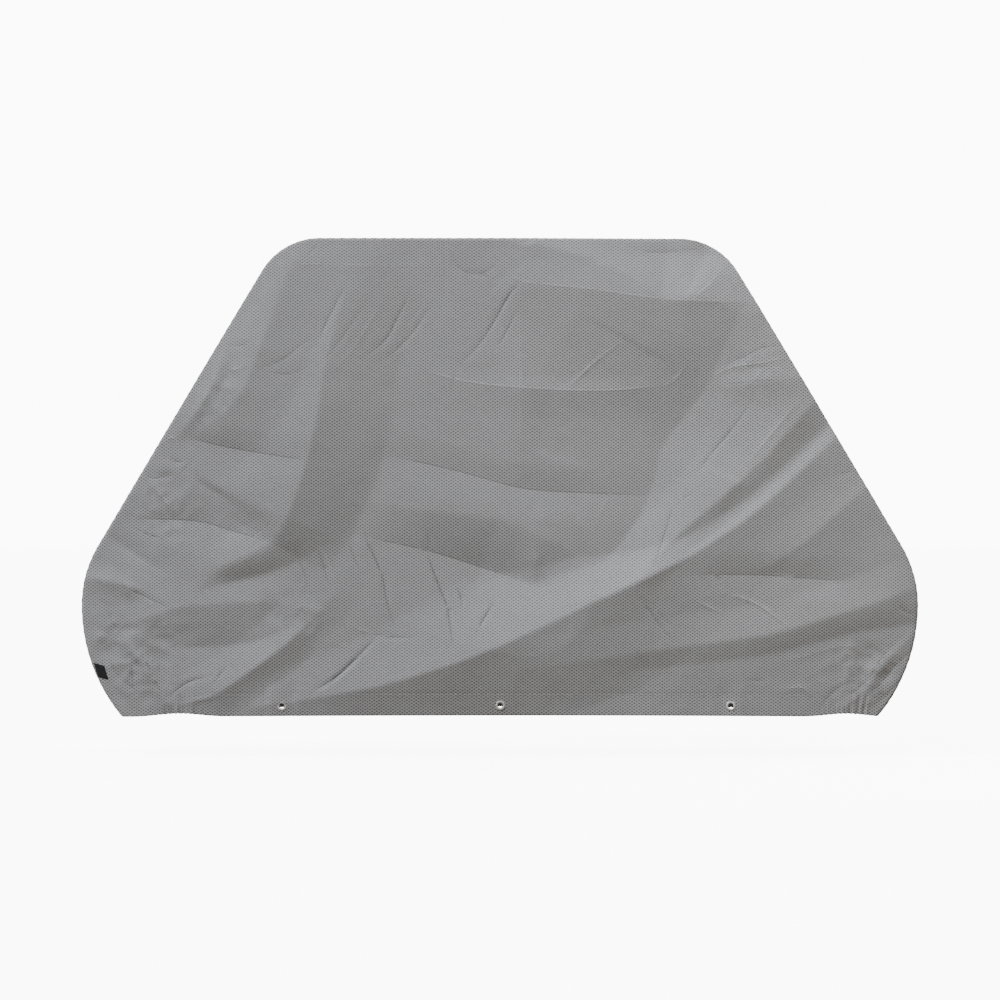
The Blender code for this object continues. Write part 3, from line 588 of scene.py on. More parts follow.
def new_material(name):
    material = bpy.data.materials.new(name)
    material.use_nodes = True
    return material, material.node_tree, material.node_tree.nodes["Principled BSDF"]


def times(first, second):
    return node(first.id_data, "Math", {0: first, 1: second}, operation='MULTIPLY')


def plus(first, second):
    return node(first.id_data, "Math", {0: first, 1: second}, operation='ADD')


def body_place(tree):
    return node(tree, "TexCoord", {}, "Object")


def grain(place, scale, detail):
    return node(place.id_data, "TexNoise", {"Vector": place, "Scale": scale, "Detail": detail,
                                            "Roughness": 0.55}, "Fac")


def spread(value, from_low, from_high, to_low, to_high, kind='LINEAR'):
    """A number's range, drawn out to another."""
    return node(value.id_data, "MapRange",
                {"Value": value, "From Min": from_low, "From Max": from_high,
                 "To Min": to_low, "To Max": to_high}, "Result", interpolation_type=kind)


def blend(share, first, second):
    return node(share.id_data, "Mix", {"Factor": share, 6: first, 7: second}, 2, data_type='RGBA')


def relief(height, strength, distance):
    return node(height.id_data, "Bump", {"Strength": strength, "Distance": distance,
                                         "Height": height}, "Normal")


def crossed_waves(tree, pitch_along, pitch_up):
    """Product of two cosines over the cloth: a staggered lattice with one point at each corner
    of the repeat and one in its middle."""
    laid = node(tree, "SeparateXYZ", {0: node(tree, "UVMap", {}, "UV", uv_map="cloth")}).node
    return times(*(node(tree, "Math", {0: times(laid.outputs[axis], 2 * math.pi / pitch)},
                        operation='COSINE')
                   for axis, pitch in (("X", pitch_along), ("Y", pitch_up))))


def cloth_material(name):
    material, tree, shader = new_material(name)
    dots = spread(crossed_waves(tree, *DOT_CELL), *DOT_EDGE, 0, 1, 'SMOOTHSTEP')
    threads = crossed_waves(tree, THREAD_PITCH, THREAD_PITCH)
    body = body_place(tree)
    fibre = grain(body, 1400, 2)
    patches = grain(body, 7, 4)
    coating = grain(body, 160, 3)

    strength = times(dots, spread(fibre, 0.3, 0.7, 0.72, 1.0))
    shade = plus(spread(patches, 0.3, 0.7, -0.03, 0.03), spread(coating, 0.3, 0.7, 0.95, 1.05))
    shade = times(shade, spread(threads, -1, 1, 0.96, 1.04))
    off, rise = (node(tree, "Attribute", {}, "Fac", attribute_name=key)
                 for key in ("crease_off", "crease_rise"))
    # Painted shade and highlight along each sharp crease line: besides its bump, the colour turns darker
    # over a valley and paler over a ridge, in keeping with its rise.
    line = times(times(spread(off, 0, LINE_WIDTH, 1, 0, 'SMOOTHSTEP'), rise),
                 spread(coating, 0.3, 0.7, 0.6, 1.2))
    shade = times(shade, plus(times(line, CREASE_PAINTED_LIGHT), 1.0))
    woven = node(tree, "VectorMath", {0: blend(strength, GROUND_GREY, DOT_GREY), "Scale": shade},
                 "Vector", operation='SCALE')

    height = times(plus(plus(times(dots, -0.8), times(threads, 0.12)), times(fibre, 0.3)), PATTERN_DEPTH)
    feed(shader, {"Base Color": woven, "Roughness": spread(coating, 0.3, 0.7, 0.56, 0.68),
                  "Normal": relief(plus(height, times(line, MM)), 1.0, 1.0),
                  "Specular IOR Level": 0.35, "Sheen Weight": 0.10, "Sheen Roughness": 0.5})
    return material


def fitted(piece, material, *nodes, slot):
    """Gives a piece its material and puts it in the place of its solids."""
    piece.data.materials.clear()
    piece.data.materials.append(material)
    if nodes:
        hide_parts(*nodes)
    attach(piece, "root")


cover_cloth = cloth_material("dotted_grey_cloth")
front_panel = panel_sheet("front_panel_cloth", -1, FRONT_CUT)
fitted(front_panel, cover_cloth, "front_panel", slot="cover_cloth")

# ------------------------------------------------- back panel
# The same cut for the other side, sewn to the gusset's other edge. It lies over the second
# bicycle, so its folds slant the other way from the saddle and the handlebar.
BACK_FOLDS = (
    ("long crest", (-720, 560, 6, -520, 420, 14, -300, 300, 18, 0, 185, 20, 330, 92, 16, 640, 30, 4), 85,
     80, 1.7),
    ("second crest", (-850, 330, 8, -560, 235, 14, -250, 120, 12, 60, 55, 3), 80, 70, 1.7),
    ("saddle crest", (-560, 640, 5, -420, 830, 14, -310, 1040, 5), 90, 120, 1.7),
    ("saddle valley", (-320, 480, -4, -230, 700, -10, -150, 930, -5), 100, 100, 1.7),
    ("right crest", (420, 1020, 4, 520, 800, 13, 640, 590, 13, 760, 470, 4), 90, 90, 1.7),
    ("right valley", (300, 760, -5, 430, 560, -11, 620, 380, -4), 100, 100, 1.7),
    ("upper crease", (-480, 985, 4, -100, 968, 6, 300, 975, 6, 520, 958, 4), 70, 80, 1.7),
    ("middle crease", (-640, 772, 3, -200, 755, 6, 240, 748, 6, 690, 765, 3), 75, 80, 1.7),
    ("lower crease", (-780, 512, -3, -330, 520, -6, 180, 508, -6, 790, 520, -3), 75, 80, 1.7),
    ("corner gather", (780, 30, 6, 850, 120, 12, 930, 230, 4), 45, 45, 1.7),
)
BACK_CREASES = (
    (18, -560, 905, 0.6, -470, 960, 2.5, -380, 985, 0.6),
    (14, -402, 812, -0.6, -352, 872, -3.5, -318, 945, -1),
    (11, -372, 800, 0.6, -318, 862, 2.5, -282, 930, 0.6),
    (13, -262, 850, -1, -212, 905, -3.5, -180, 968, -1),
    (12, -120, 842, -0.6, -62, 905, -3, -30, 990, -0.6),
    (12, 20, 820, 0.6, 72, 872, 2.5, 98, 955, 0.6),
    (15, 310, 985, -1, 360, 930, -4, 428, 862, -4, 470, 790, -1),
    (11, 352, 992, 0.6, 402, 938, 3, 455, 880, 0.6),
    (12, 455, 1012, -1, 510, 948, -3, 552, 872, -1),
    (12, 560, 770, -0.6, 620, 802, -3, 672, 812, -0.6),
    (12, 610, 640, 0.6, 668, 662, 3, 725, 655, 0.6),
    (15, 660, 540, -1, 735, 515, -3.5, 800, 525, -1),
    (14, 700, 415, 0.6, 770, 398, 3, 855, 402, 1),
    (14, 752, 312, -0.6, 830, 285, -3, 905, 262, -0.6),
    (15, 800, 190, -1, 858, 210, -4, 925, 255, -1),
    (13, -180, 560, -1, -120, 498, -3, -85, 430, -1),
    (13, 60, 402, -1, 92, 345, -4, 118, 270, -4, 125, 205, -1),
    (10, 150, 395, 0.6, 172, 345, 2.5, 182, 290, 0.6),
    (13, 262, 372, -0.6, 300, 318, -3.5, 322, 262, -3, 318, 210, -0.6),
    (13, -430, 312, -1, -372, 262, -3.5, -300, 232, -1),
    (13, -640, 402, 0.6, -588, 352, 3, -520, 322, 0.6),
    (14, -755, 452, -1, -700, 425, -3, -630, 430, -1),
    (12, -880, 372, -0.6, -820, 362, -3, -752, 388, -0.6),
    (13, -905, 238, 0.6, -842, 232, 3, -772, 205, 0.6),
    (13, -868, 95, -1, -835, 132, -4, -790, 150, -1),
    (14, -842, 52, -1, -800, 88, -4, -742, 112, -1),
    (15, -700, 152, -1, -640, 118, -3.5, -560, 102, -1),
    (14, 430, 122, -0.6, 500, 98, -3, 590, 88, -0.6),
    (13, -690, 742, 0.6, -640, 758, 3, -590, 748, 0.6),
    (13, -742, 590, -0.6, -690, 598, -3, -640, 582, -0.6),
)
BACK_CUT = (BACK_FOLDS, BACK_CREASES, 17.7)

back_panel = panel_sheet("back_panel_cloth", 1, BACK_CUT)
fitted(back_panel, cover_cloth, "back_panel", slot="cover_cloth")

# ----------------------------------------------------- gusset
# One long strip of the same cloth, sewn between the panels up one end, over the top and down
# the other. It sags a little between its seams, and its two ends are turned under and gathered.
# Wrinkles across it: place along it as a share of its run, half width in millimetres, rise in
# millimetres, and slant from the front seam to the back as a share of the run.
GUSSET_WRINKLES = (
    (0.05, 60, 6, 0.012), (0.13, 70, 5, -0.010), (0.22, 90, 7, 0.014),
    (0.31, 60, -5, 0.006), (0.40, 80, 6, -0.016), (0.48, 110, -5, 0.010),
    (0.56, 70, 5, 0.014), (0.66, 60, -5, -0.008), (0.75, 90, 7, -0.014),
    (0.85, 70, 6, 0.012), (0.94, 60, 6, -0.010),
)
GUSSET_CREASES = (
    (0.075, 16, 2.0, 0.020), (0.105, 13, -2.5, -0.014), (0.160, 15, 2.5, -0.022),
    (0.195, 12, -2.0, 0.012), (0.262, 14, 2.5, 0.018), (0.288, 12, -2.5, -0.024),
    (0.345, 16, 2.0, -0.012), (0.372, 12, -2.0, 0.020), (0.437, 14, -2.5, 0.010),
    (0.455, 11, 2.0, 0.026), (0.512, 16, -2.0, -0.018), (0.540, 12, 2.5, -0.030),
    (0.590, 14, -2.5, 0.016), (0.628, 12, 2.0, 0.024), (0.690, 15, -2.5, -0.020),
    (0.720, 12, 2.0, 0.014), (0.785, 14, -2.5, 0.022), (0.812, 12, 2.0, -0.016),
    (0.880, 15, -2.5, 0.018), (0.915, 13, 2.5, -0.022),
)
GUSSET_SEED = 41.3
TOP_SAG = 0.014
END_SAG = 0.007
GUSSET_ROWS = (38, 22, 92, 22)
GUSSET_TOP = 130
GUSSET_ACROSS = 46
HEM_TURN = 0.0027         # the two layers of a turned hem, outer face to outer face
PUCKER_PITCH = 0.023
PUCKER_RISE = 0.0004
PUCKER_REACH = 0.011
END_GATHER_PITCH = 0.026
END_GATHER_RISE = 0.0030


def gusset_run():
    """Outline points from the left hem over the top to the right, and how far inside the
    outline each lies: the ends are turned under and come back up inside."""
    rising = row_heights(0.0015, GUSSET_ROWS)
    side = np.stack([-half_length(rising), rising, np.zeros(len(rising))], axis=1)
    turned = [(height, HEM_TURN) for height in np.linspace(HEM_DEPTH - 0.006, 0.0015, 9)]
    turned += [(0.0004, HEM_TURN * 0.82), (0.0, HEM_TURN / 2), (0.0004, HEM_TURN * 0.18)]
    turned = np.array([(-float(half_length(np.float64(height))), height, inside)
                       for height, inside in turned])
    top = np.array([(x, HEIGHT, 0) for x in np.linspace(-TOP_HALF, TOP_HALF, GUSSET_TOP)[1:-1]])
    left = np.vstack([turned, side])
    return np.vstack([left, top, left[::-1] * (-1, 1, 1)])


def length_along(outline):
    steps = np.linalg.norm(np.diff(outline, axis=0), axis=1)
    return np.concatenate([[0], np.cumsum(steps)])


def outward_along(outline):
    """The gusset's outward direction at each point of the outline."""
    ahead = np.vstack([outline[1:], outline[-1:]]) - np.vstack([outline[:1], outline[:-1]])
    outward = np.stack([-ahead[:, 1], ahead[:, 0]], axis=1)
    foot_middle = np.sign(outline[:, 0]) * (HALF_LENGTH - FOOT_RADIUS)
    from_middle = np.stack([outline[:, 0] - foot_middle, outline[:, 1] - WIDEST_AT], axis=1)
    outward = np.where((outline[:, 1] < WIDEST_AT)[:, None], from_middle, outward)
    return outward / np.linalg.norm(outward, axis=1)[:, None]


def gusset_sheet(name):
    run = gusset_run()
    outline, inside = run[:, :2], run[:, 2]
    outward = outward_along(outline)
    length = length_along(outline)
    first = np.argmax(inside == 0)
    length -= length[first]
    whole = length[len(length) - 1 - first]
    on_top = smooth((outline[:, 1] - CORNER_FOOT + 0.1) / 0.1)
    sag = END_SAG + (TOP_SAG - END_SAG) * on_top
    front = -panel_depth(outline[:, 0], outline[:, 1], FRONT_CUT) + SEAM_INSET
    back = panel_depth(outline[:, 0], outline[:, 1], BACK_CUT) - SEAM_INSET
    shares = np.concatenate([[0, 0.004, 0.009, 0.015], np.linspace(0.024, 0.976, GUSSET_ACROSS),
                             [0.985, 0.991, 0.996, 1]])
    rows, patterns = [], []
    for across in shares:
        y = front + (back - front) * across
        crown = 4 * across * (1 - across)
        level = 1 - (1 - crown) ** 2
        rise = np.zeros(len(outline))
        for place, half, height, slant in GUSSET_WRINKLES:
            centre = (place + slant * (2 * across - 1)) * whole
            rise += crown * height * MM * np.clip(1 - np.abs(length - centre) / (half * MM), 0, 1) ** 2
        for place, half, height, slant in GUSSET_CREASES:
            centre = (place + slant * (2 * across - 1)
                      + 0.006 * math.sin(9 * across + 40 * place)) * whole
            swell = smooth(crown * 1.6) * uneven(7 * across + 60 * place, 0.45)
            flank = np.clip(1 - np.abs(length - centre) / (half * MM), 0, 1) ** CREASE_FALL
            rise += height * MM * swell * flank
        to_seam = np.minimum(y - front, back - y) + SEAM_INSET
        pucker = to_seam / PUCKER_REACH * np.exp(1 - to_seam / PUCKER_REACH)
        swing = 2 * math.pi * length / PUCKER_PITCH + 1.9 * np.sin(length / 0.061)
        rise += PUCKER_RISE * pucker * np.sin(swing)
        low = np.clip(1 - outline[:, 1] / GATHER_HEIGHT, 0, 1) ** 1.4
        pleats = np.sin(2 * math.pi * y / END_GATHER_PITCH + 2.2 * np.sin(y / 0.027))
        rise += END_GATHER_RISE * low * smooth(crown * 1.8) * uneven(y / 0.037 + 1, 0.4) * pleats
        rise += level * rumpled(length, y, GUSSET_SEED)
        drop = sag * crown - rise + seam_turn(to_seam) + inside
        place = outline - outward * drop[:, None]
        rows.append(np.stack([place[:, 0], y, world_height(outline[:, 0], place[:, 1])], axis=-1))
        patterns.append(np.stack([length, y], axis=-1))
    return cloth_sheet(name, rows, patterns, CLOTH)


gusset = gusset_sheet("gusset_cloth")
fitted(gusset, cover_cloth, "gusset", slot="cover_cloth")

# ------------------------------------------------- hem strips
# A folded band of the same cloth, sewn over each panel's lower edge with one row of stitches.
# It carries the eyelets, and an elastic inside gathers it near both ends.
EYELET_HEIGHT = 0.024
EYELET_HOLE = 0.0074
EYELET_FOOT = 0.004       # the strip's slope at an eyelet is taken from here to its depth
STRIP_CLOTH = 0.0008
STRIP_PROUD = 0.0005      # outer face in front of the panel's own line
STRIP_BACK = 0.0027       # inner layer behind that line
STRIP_TURN = 0.0016       # radius of its folded lower edge
STRIP_STEP = 0.0050
GATHERED_STEP = 0.0021
SCALLOP_PITCH = 0.0112
SCALLOP = 0.0016
SCALLOP_PLEAT = 0.0011
SIDES = (("front", -1, FRONT_CUT), ("back", 1, BACK_CUT))


def strip_stations():
    """Places along a hem strip as shares of its half length, closer where it is gathered."""
    limit = float(half_length(np.float64(EYELET_HEIGHT)))
    fine = np.linspace(-limit, limit, 4001)
    step = np.full(fine.shape, STRIP_STEP)
    for middle, half in GATHERS:
        step = np.where(np.abs(fine - middle) < half, GATHERED_STEP, step)
    count = np.concatenate([[0], np.cumsum(np.diff(fine) / step[1:])])
    even = np.linspace(0, count[-1], math.ceil(count[-1]) + 1)
    return np.interp(even, count, fine) / limit


def strip_sheet(name, side, cut):
    middle = (STRIP_PROUD - STRIP_BACK) / 2
    radius = (STRIP_PROUD + STRIP_BACK) / 2
    section = [(height, STRIP_PROUD) for height in np.linspace(STRIP_TOP, STRIP_TURN, 12)]
    section += [(radius * (1 - math.sin(turn)), middle + radius * math.cos(turn))
                for turn in np.linspace(0, math.pi, 7)[1:-1]]
    section += [(height, -STRIP_BACK) for height in np.linspace(STRIP_TURN, HEM_DEPTH - 0.002, 9)]
    across = strip_stations()
    rows, patterns = [], []
    travel = 0.0
    for index, (height, proud) in enumerate(section):
        level = np.full(across.shape, height)
        x = across * (half_length(level) - SEAM_INSET)
        depth = panel_depth(x, level, cut)
        depth -= seam_turn(np.maximum(seam_distance(x, level), 0))
        low = in_gathers(x) * np.clip(1 - height / 0.03, 0, 1)
        swing = 2 * math.pi * x / SCALLOP_PITCH
        depth += SCALLOP_PLEAT * low * np.sin(swing + 1.0)
        z = world_height(x, level) + SCALLOP * low * (1 + np.sin(swing)) / 2
        rows.append(np.stack([x, side * (depth + proud), z], axis=-1))
        if index:
            travel += math.dist(section[index], section[index - 1])
        patterns.append(np.stack([x * -side, STRIP_TOP - travel + np.zeros(len(x))], axis=-1))
    return cloth_sheet(name, rows[::-1], patterns[::-1], STRIP_CLOTH, flip=side > 0)


def eyelet_place(place, side, cut):
    """Point on the strip's outer face at an eyelet, and its outward normal."""
    low, high = (Vector((place, side * float(panel_depth(np.array([place]), np.array([height]), cut)[0]),
                         float(world_height(place, height))))
                 for height in (EYELET_FOOT, HEM_DEPTH))
    normal = Vector((0, side * (high.z - low.z), -side * (high.y - low.y))).normalized()
    share = (EYELET_HEIGHT - EYELET_FOOT) / (HEM_DEPTH - EYELET_FOOT)
    return low.lerp(high, share) + normal * STRIP_PROUD, normal


def cut_hole(strip, point, normal):
    """Round hole through both layers of a strip for an eyelet's barrel."""
    bpy.ops.object.select_all(action='DESELECT')
    bpy.ops.mesh.primitive_cylinder_add(
        vertices=40, radius=EYELET_HOLE, depth=0.03, location=point,
        rotation=normal.to_track_quat('Z', 'Y').to_euler())
    punch = bpy.context.object
    finish_with(strip, 'BOOLEAN', operation='DIFFERENCE', object=punch)
    bpy.data.objects.remove(punch, do_unlink=True)


for word, side, cut in SIDES:
    strip = strip_sheet(f"hem_{word}_band", side, cut)
    for place in EYELET_PLACES:
        cut_hole(strip, *eyelet_place(place, side, cut))
    fitted(strip, cover_cloth, f"hem_{word}", slot="cover_cloth")

# --------------------------------------------- seam allowance
# The sewn edges of a panel and the gusset are turned in behind their seam. They lie across the
# corner inside the cover, flat, in the cover's own cloth.
TURNED_REACH = 0.012      # how far from the corner the turned edges end
OFF_PANEL = 0.0013        # clearances to the cloth beside them
OFF_GUSSET = 0.0030
TURNED_THICKNESS = 0.0006


def turned_edges(name, side, cut):
    run = gusset_run()
    outline = run[run[:, 2] == 0, :2]
    outward = outward_along(outline)
    length = length_along(outline)
    corner = side * panel_depth(outline[:, 0], outline[:, 1], cut)
    within = outline - outward * TURNED_REACH
    on_panel = side * panel_depth(within[:, 0], np.maximum(within[:, 1], 0), cut)
    hem = HEM_TURN * smooth((HEM_DEPTH + 0.016 - outline[:, 1]) / 0.012)
    panel_edge = on_panel - side * (CLOTH + OFF_PANEL + hem)
    gusset_edge = corner - side * TURNED_REACH
    gusset_off = CLOTH + OFF_GUSSET + hem
    rows, patterns = [], []
    for share in np.linspace(0, 1, 4):
        off = TURNED_REACH + (gusset_off - TURNED_REACH) * share
        place = outline - outward * off[:, None]
        y = panel_edge + (gusset_edge - panel_edge) * share
        rows.append(np.stack([place[:, 0], y, world_height(outline[:, 0], place[:, 1])], axis=-1))
        patterns.append(np.stack([length, np.full(len(length), share * TURNED_REACH)], axis=-1))
    return cloth_sheet(name, rows, patterns, TURNED_THICKNESS, flip=side > 0)


for word, side, cut in SIDES:
    edges = turned_edges(f"seam_{word}_turned_edges", side, cut)
    fitted(edges, cover_cloth, slot="cover_cloth")

# --------------------------------------------------- stitches
# One row of grey thread holds each hem strip to its panel. A stitch is a short thread that dips
# into the cloth at both ends, modelled once and set along the strip.
STITCH_PITCH = 0.0045
STITCH_LENGTH = 0.0034
STITCHED_HALF = 0.868
THREAD = 0.00055
STITCH_HEIGHT = 0.0466
THREAD_GREY = (0.30, 0.30, 0.305, 1)
THREAD_DARK = (0.22, 0.22, 0.225, 1)


def one_stitch():
    """Points and faces of one stitch, along X with its back to -Z."""
    bpy.ops.object.select_all(action='DESELECT')
    bpy.ops.mesh.primitive_uv_sphere_add(segments=6, ring_count=4, radius=0.5,
                                         rotation=(0, math.pi / 2, 0))
    bpy.ops.object.transform_apply(rotation=True)
    bpy.ops.object.mode_set(mode='EDIT')
    bpy.ops.mesh.select_all(action='SELECT')
    bpy.ops.transform.resize(value=(STITCH_LENGTH, THREAD, THREAD * 0.8))
    bpy.ops.object.mode_set(mode='OBJECT')
    model = bpy.context.object
    points = np.array([vertex.co for vertex in model.data.vertices])
    faces = [tuple(face.vertices) for face in model.data.polygons]
    bpy.data.objects.remove(model, do_unlink=True)
    return points, faces


def stitch_row(name, places, directions, normals, material):
    """Stitches at the places, lying along the directions on the cloth, as one mesh."""
    points, faces = one_stitch()
    rows, all_faces = [], []
    for number, (place, ahead, normal) in enumerate(zip(places, directions, normals)):
        sideways = np.cross(normal, ahead)
        rows.append(place + points @ np.array([ahead, sideways, normal]))
        all_faces += [tuple(corner + number * len(points) for corner in face) for face in faces]
    mesh = bpy.data.meshes.new(name)
    mesh.from_pydata(np.concatenate(rows).tolist(), [], all_faces)
    mesh.shade_smooth()
    mesh.materials.append(material)
    piece = bpy.data.objects.new(name, mesh)
    bpy.context.scene.collection.objects.link(piece)
    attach(piece, "root")


grey_thread, tree, shader = new_material("grey_thread")
twist = grain(body_place(tree), 2600, 2)
feed(shader, {"Base Color": blend(twist, THREAD_DARK, THREAD_GREY),
              "Roughness": spread(twist, 0.3, 0.7, 0.5, 0.7)})
for word, side, cut in SIDES:
    x = np.arange(-STITCHED_HALF, STITCHED_HALF, STITCH_PITCH)
    level = np.full(x.shape, STITCH_HEIGHT)
    depth = panel_depth(x, level, cut) + STRIP_PROUD
    places = np.stack([x, side * depth, world_height(x, level)], axis=-1)
    directions = np.gradient(places, axis=0)
    directions /= np.linalg.norm(directions, axis=1)[:, None]
    normals = np.cross(directions, (0.0, 0.0, 1.0)) * -side
    normals /= np.linalg.norm(normals, axis=1)[:, None]
    stitch_row(f"hem_{word}_stitches", places + normals * THREAD * 0.2, directions, normals, grey_thread)

# ---------------------------------------------------- eyelets
# Brass with a satin white nickel finish, pressed from thin sheet in two halves that close over
# the hem: a domed front ring and barrel, rolled out flat behind. Three in each hem strip, for a
# cord or a lock.
EYELET_BORE = 0.0065
EYELET_SHEET = 0.0005
BAND_THICKNESS = STRIP_PROUD + STRIP_BACK
FRONT_RING = ((1.08, 0.45), (1.22, 0.35), (1.38, 0.10), (1.54, -0.25), (1.62, -0.45))
BACK_RING = ((1.10, -0.35), (1.28, -0.15), (1.46, 0.05), (1.58, 0.30))


def select_ring(model, height):
    """Selects the model's points at a height, in edit mode."""
    bpy.ops.object.mode_set(mode='OBJECT')
    for vertex in model.data.vertices:
        vertex.select = abs(vertex.co.z - height) < 1e-5
    for edge in model.data.edges:
        edge.select = all(model.data.vertices[corner].select for corner in edge.vertices)
    bpy.ops.object.mode_set(mode='EDIT')


def pressed_eyelet(name):
    """An eyelet round the Z axis, with its front ring upwards and the band's outer face at z 0."""
    bpy.ops.object.select_all(action='DESELECT')
    bpy.ops.mesh.primitive_cylinder_add(vertices=64, radius=EYELET_BORE, depth=BAND_THICKNESS,
                                        end_fill_type='NOTHING',
                                        location=(0, 0, -BAND_THICKNESS / 2))
    bpy.ops.object.transform_apply(location=True)
    model = bpy.context.object
    model.name = name
    bpy.ops.object.mode_set(mode='EDIT')
    bpy.ops.mesh.select_mode(type='EDGE')
    for start, ring in ((0.0, FRONT_RING), (-BAND_THICKNESS, BACK_RING)):
        select_ring(model, start)
        size = 1.0
        for share, rise in ring:
            bpy.ops.mesh.extrude_edges_move(TRANSFORM_OT_translate={"value": (0, 0, rise * MM)})
            bpy.ops.transform.resize(value=(share / size, share / size, 1), center_override=(0, 0, 0))
            size = share
    bpy.ops.mesh.select_all(action='SELECT')
    bpy.ops.mesh.normals_make_consistent(inside=False)
    bpy.ops.object.mode_set(mode='OBJECT')
    finish_with(model, 'SOLIDIFY', thickness=EYELET_SHEET, offset=0, use_even_offset=True)
    finish_with(model, 'BEVEL', width=EYELET_SHEET * 0.3, segments=2, limit_method='ANGLE',
                angle_limit=math.radians(50))
    bpy.ops.object.shade_smooth_by_angle(angle=math.radians(35))
    return model


nickel, tree, shader = new_material("nickel_plate")
fine = grain(body_place(tree), 900, 4)
dull = grain(body_place(tree), 260, 2)
feed(shader, {"Base Color": blend(dull, (0.93, 0.93, 0.92, 1), (0.86, 0.86, 0.85, 1)),
              "Roughness": spread(fine, 0.3, 0.7, 0.30, 0.42),
              "Normal": relief(fine, 0.15, 0.0001), "Metallic": 0.45})
for word, side, cut in SIDES:
    for number, place in enumerate(EYELET_PLACES, 1):
        eyelet = pressed_eyelet(f"eyelet_{word}_{number}_ring")
        point, normal = eyelet_place(place, side, cut)
        eyelet.data.transform(normal.to_track_quat('Z', 'Y').to_matrix().to_4x4())
        eyelet.data.transform(Matrix.Translation(point + normal * EYELET_SHEET / 2))
        fitted(eyelet, nickel, f"eyelet_{word}_{number}", slot="eyelet_metal")

# ------------------------------------------------------ label
# A small black tab of ribbed tape, folded double and sewn on at the lower left edge of the
# front. It is plain.
LABEL_SIZE = (0.025, 0.033)
LABEL_AT = (-0.9140, 0.1063)
LABEL_TILT = math.radians(-15)   # of its upper and lower edges
LABEL_LEAN = math.radians(17)    # of its side edges
LABEL_CLOTH = 0.0010
LABEL_LIFT = 0.0005
LABEL_FROM_SEAM = 0.003   # its left edge stays this far inside the seam
LABEL_CELLS = 16
LABEL_BLACK = (0.010, 0.010, 0.011, 1)
LABEL_WORN = (0.020, 0.020, 0.021, 1)


def label_sheet(name, panel):
    tree = BVHTree.FromObject(panel, bpy.context.evaluated_depsgraph_get())
    places, patterns = [], []
    for up in np.linspace(-0.5, 0.5, LABEL_CELLS + 1) * LABEL_SIZE[1]:
        places.append([])
        patterns.append([])
        for along in np.linspace(-0.5, 0.5, LABEL_CELLS + 1) * LABEL_SIZE[0]:
            x = LABEL_AT[0] + along * math.cos(LABEL_TILT) - up * math.sin(LABEL_LEAN)
            height = LABEL_AT[1] + along * math.sin(LABEL_TILT) + up * math.cos(LABEL_LEAN)
            x = max(x, LABEL_FROM_SEAM - float(half_length(np.float64(height))))
            hit, normal, _, _ = tree.ray_cast(Vector((x, -1, height - ORIGIN_HEIGHT)), Vector((0, 1, 0)))
            rim = max(abs(along) / LABEL_SIZE[0], abs(up) / LABEL_SIZE[1]) * 2
            pad = LABEL_LIFT + LABEL_CLOTH - 0.0003 * max(0, rim - 0.85) / 0.15
            places[-1].append(hit + normal * pad)
            patterns[-1].append((along, up))
    return cloth_sheet(name, places, patterns, LABEL_CLOTH)


black_tape, tree, shader = new_material("black_tape")
fibre = grain(node(tree, "UVMap", {}, "UV", uv_map="cloth"), 2200, 2)
feed(shader, {"Base Color": blend(fibre, LABEL_BLACK, LABEL_WORN),
              "Roughness": spread(fibre, 0.3, 0.7, 0.55, 0.75), "Specular IOR Level": 0.3,
              "Normal": relief(crossed_waves(tree, 0.0005, 0.0009), 0.5, 0.0001)})
label = label_sheet("label_tab", front_panel)
fitted(label, black_tape, "label", slot="label_cloth")

# ----------------------------------------------- floor, light
# A pale matt floor where the bicycles' tyres would stand and a white surround, both bright enough
# to run together. A large soft key light comes from the upper left, low over the cloth so that
# every fold shows, and a second one from behind for the other sides.
FLOOR = -1.172
SURROUND_GLOW = 11.0
FLOOR_GLOW = 9.0
SKY = (0.262, 0.251, 0.233, 1)
GROUND = (0.213, 0.188, 0.147, 1)


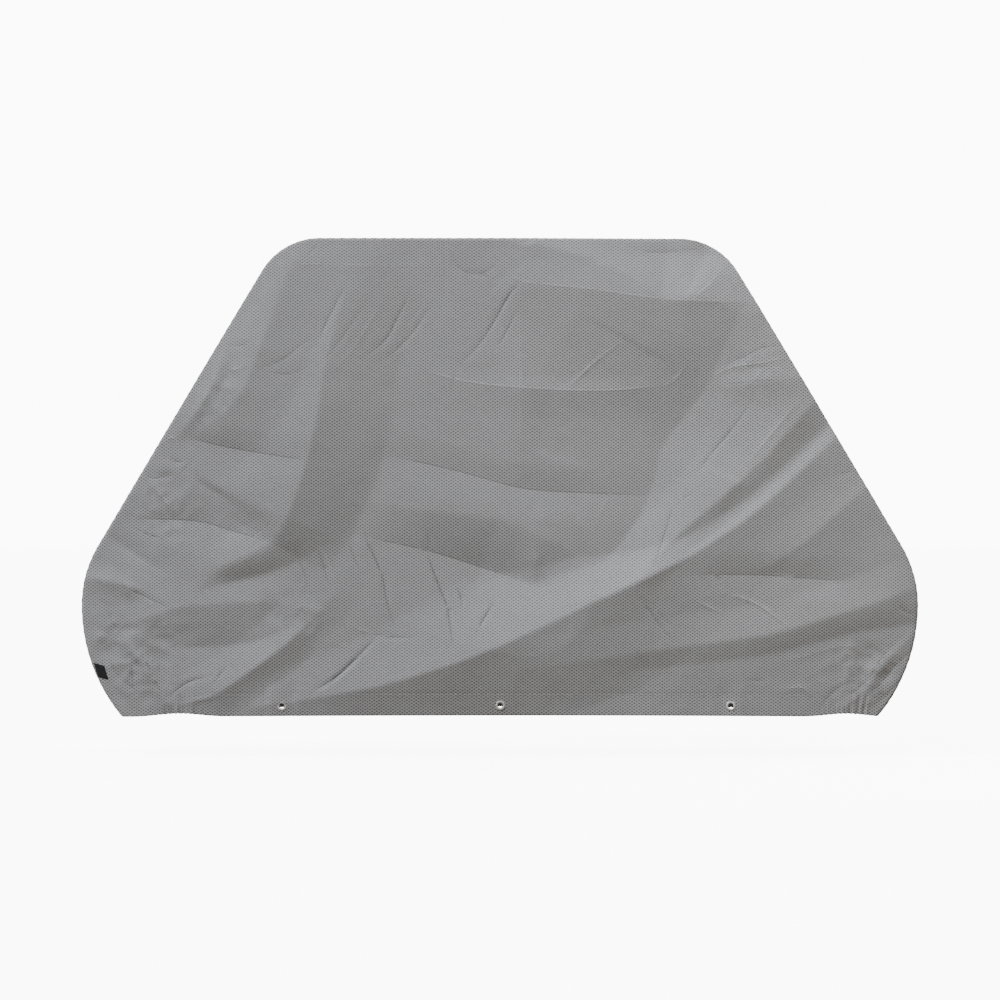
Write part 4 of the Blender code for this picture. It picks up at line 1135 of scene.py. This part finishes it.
def stage_shape(shape, name, base, glow):
    """The floor or the surround: seen by the camera, but it throws no light on the cloth."""
    shape.name = name
    paint, _, shader = new_material(name)
    feed(shader, {"Base Color": (base, base, base, 1), "Roughness": 0.9, "Specular IOR Level": 0.1,
                  "Emission Color": (1, 1, 1, 1), "Emission Strength": glow})
    shape.data.materials.append(paint)
    shape.visible_diffuse = False
    shape.visible_glossy = False


def lamp(kind, name, place, towards, energy):
    """A light at a place, shining from the given direction."""
    bpy.ops.object.light_add(type=kind, location=place,
                             rotation=Vector(towards).to_track_quat('Z', 'Y').to_euler())
    bpy.context.object.name = name
    bpy.context.object.data.energy = energy
    return bpy.context.object


bpy.ops.object.select_all(action='DESELECT')
bpy.ops.mesh.primitive_circle_add(vertices=96, radius=60, fill_type='NGON', location=(0, 0, FLOOR))
stage_shape(bpy.context.object, "pale_floor", 0.86, FLOOR_GLOW)
bpy.ops.mesh.primitive_uv_sphere_add(segments=64, ring_count=32, radius=62, location=(0, 0, 0))
surround = bpy.context.object
stage_shape(surround, "white_surround", 0.0, SURROUND_GLOW)
surround.visible_shadow = False

world = bpy.data.worlds.new("soft_fill")
bpy.context.scene.world = world
world.use_nodes = True
around = world.node_tree
heading = node(around, "SeparateXYZ", {0: node(around, "TexCoord", {}, "Generated")}, "Z")
feed(around.nodes["Background"], {
    "Color": blend(spread(heading, -0.5, 0.5, 0, 1, 'SMOOTHSTEP'), GROUND, SKY), "Strength": 1.0})

# Two wide soft suns, and a soft box at the right end that gives that half a little more light.
for name, towards, energy, angle, colour in (
        ("key_light", (-0.48, -0.45, 0.76), 4.15, 13, (0.88, 0.915, 1.0)),
        ("back_light", (0.45, 0.62, 0.70), 3.2, 24, (1.0, 0.99, 0.97))):
    sun = lamp('SUN', name, Vector(towards).normalized() * 6, towards, energy)
    sun.data.angle = math.radians(angle)
    sun.data.color = colour
side_light = lamp('AREA', "side_light", (1.75, -1.9, 0.32), (1.05, -1.7, 1.05), 15)
side_light.data.size = 0.9
side_light.visible_camera = False

bpy.ops.object.camera_add(location=(0.0004, -14.0, -0.5834), rotation=(math.radians(90), 0, 0))
camera = bpy.context.object
camera.name = "front_camera"
camera.data.lens = 215.8
camera.data.clip_end = 200
bpy.context.scene.camera = camera
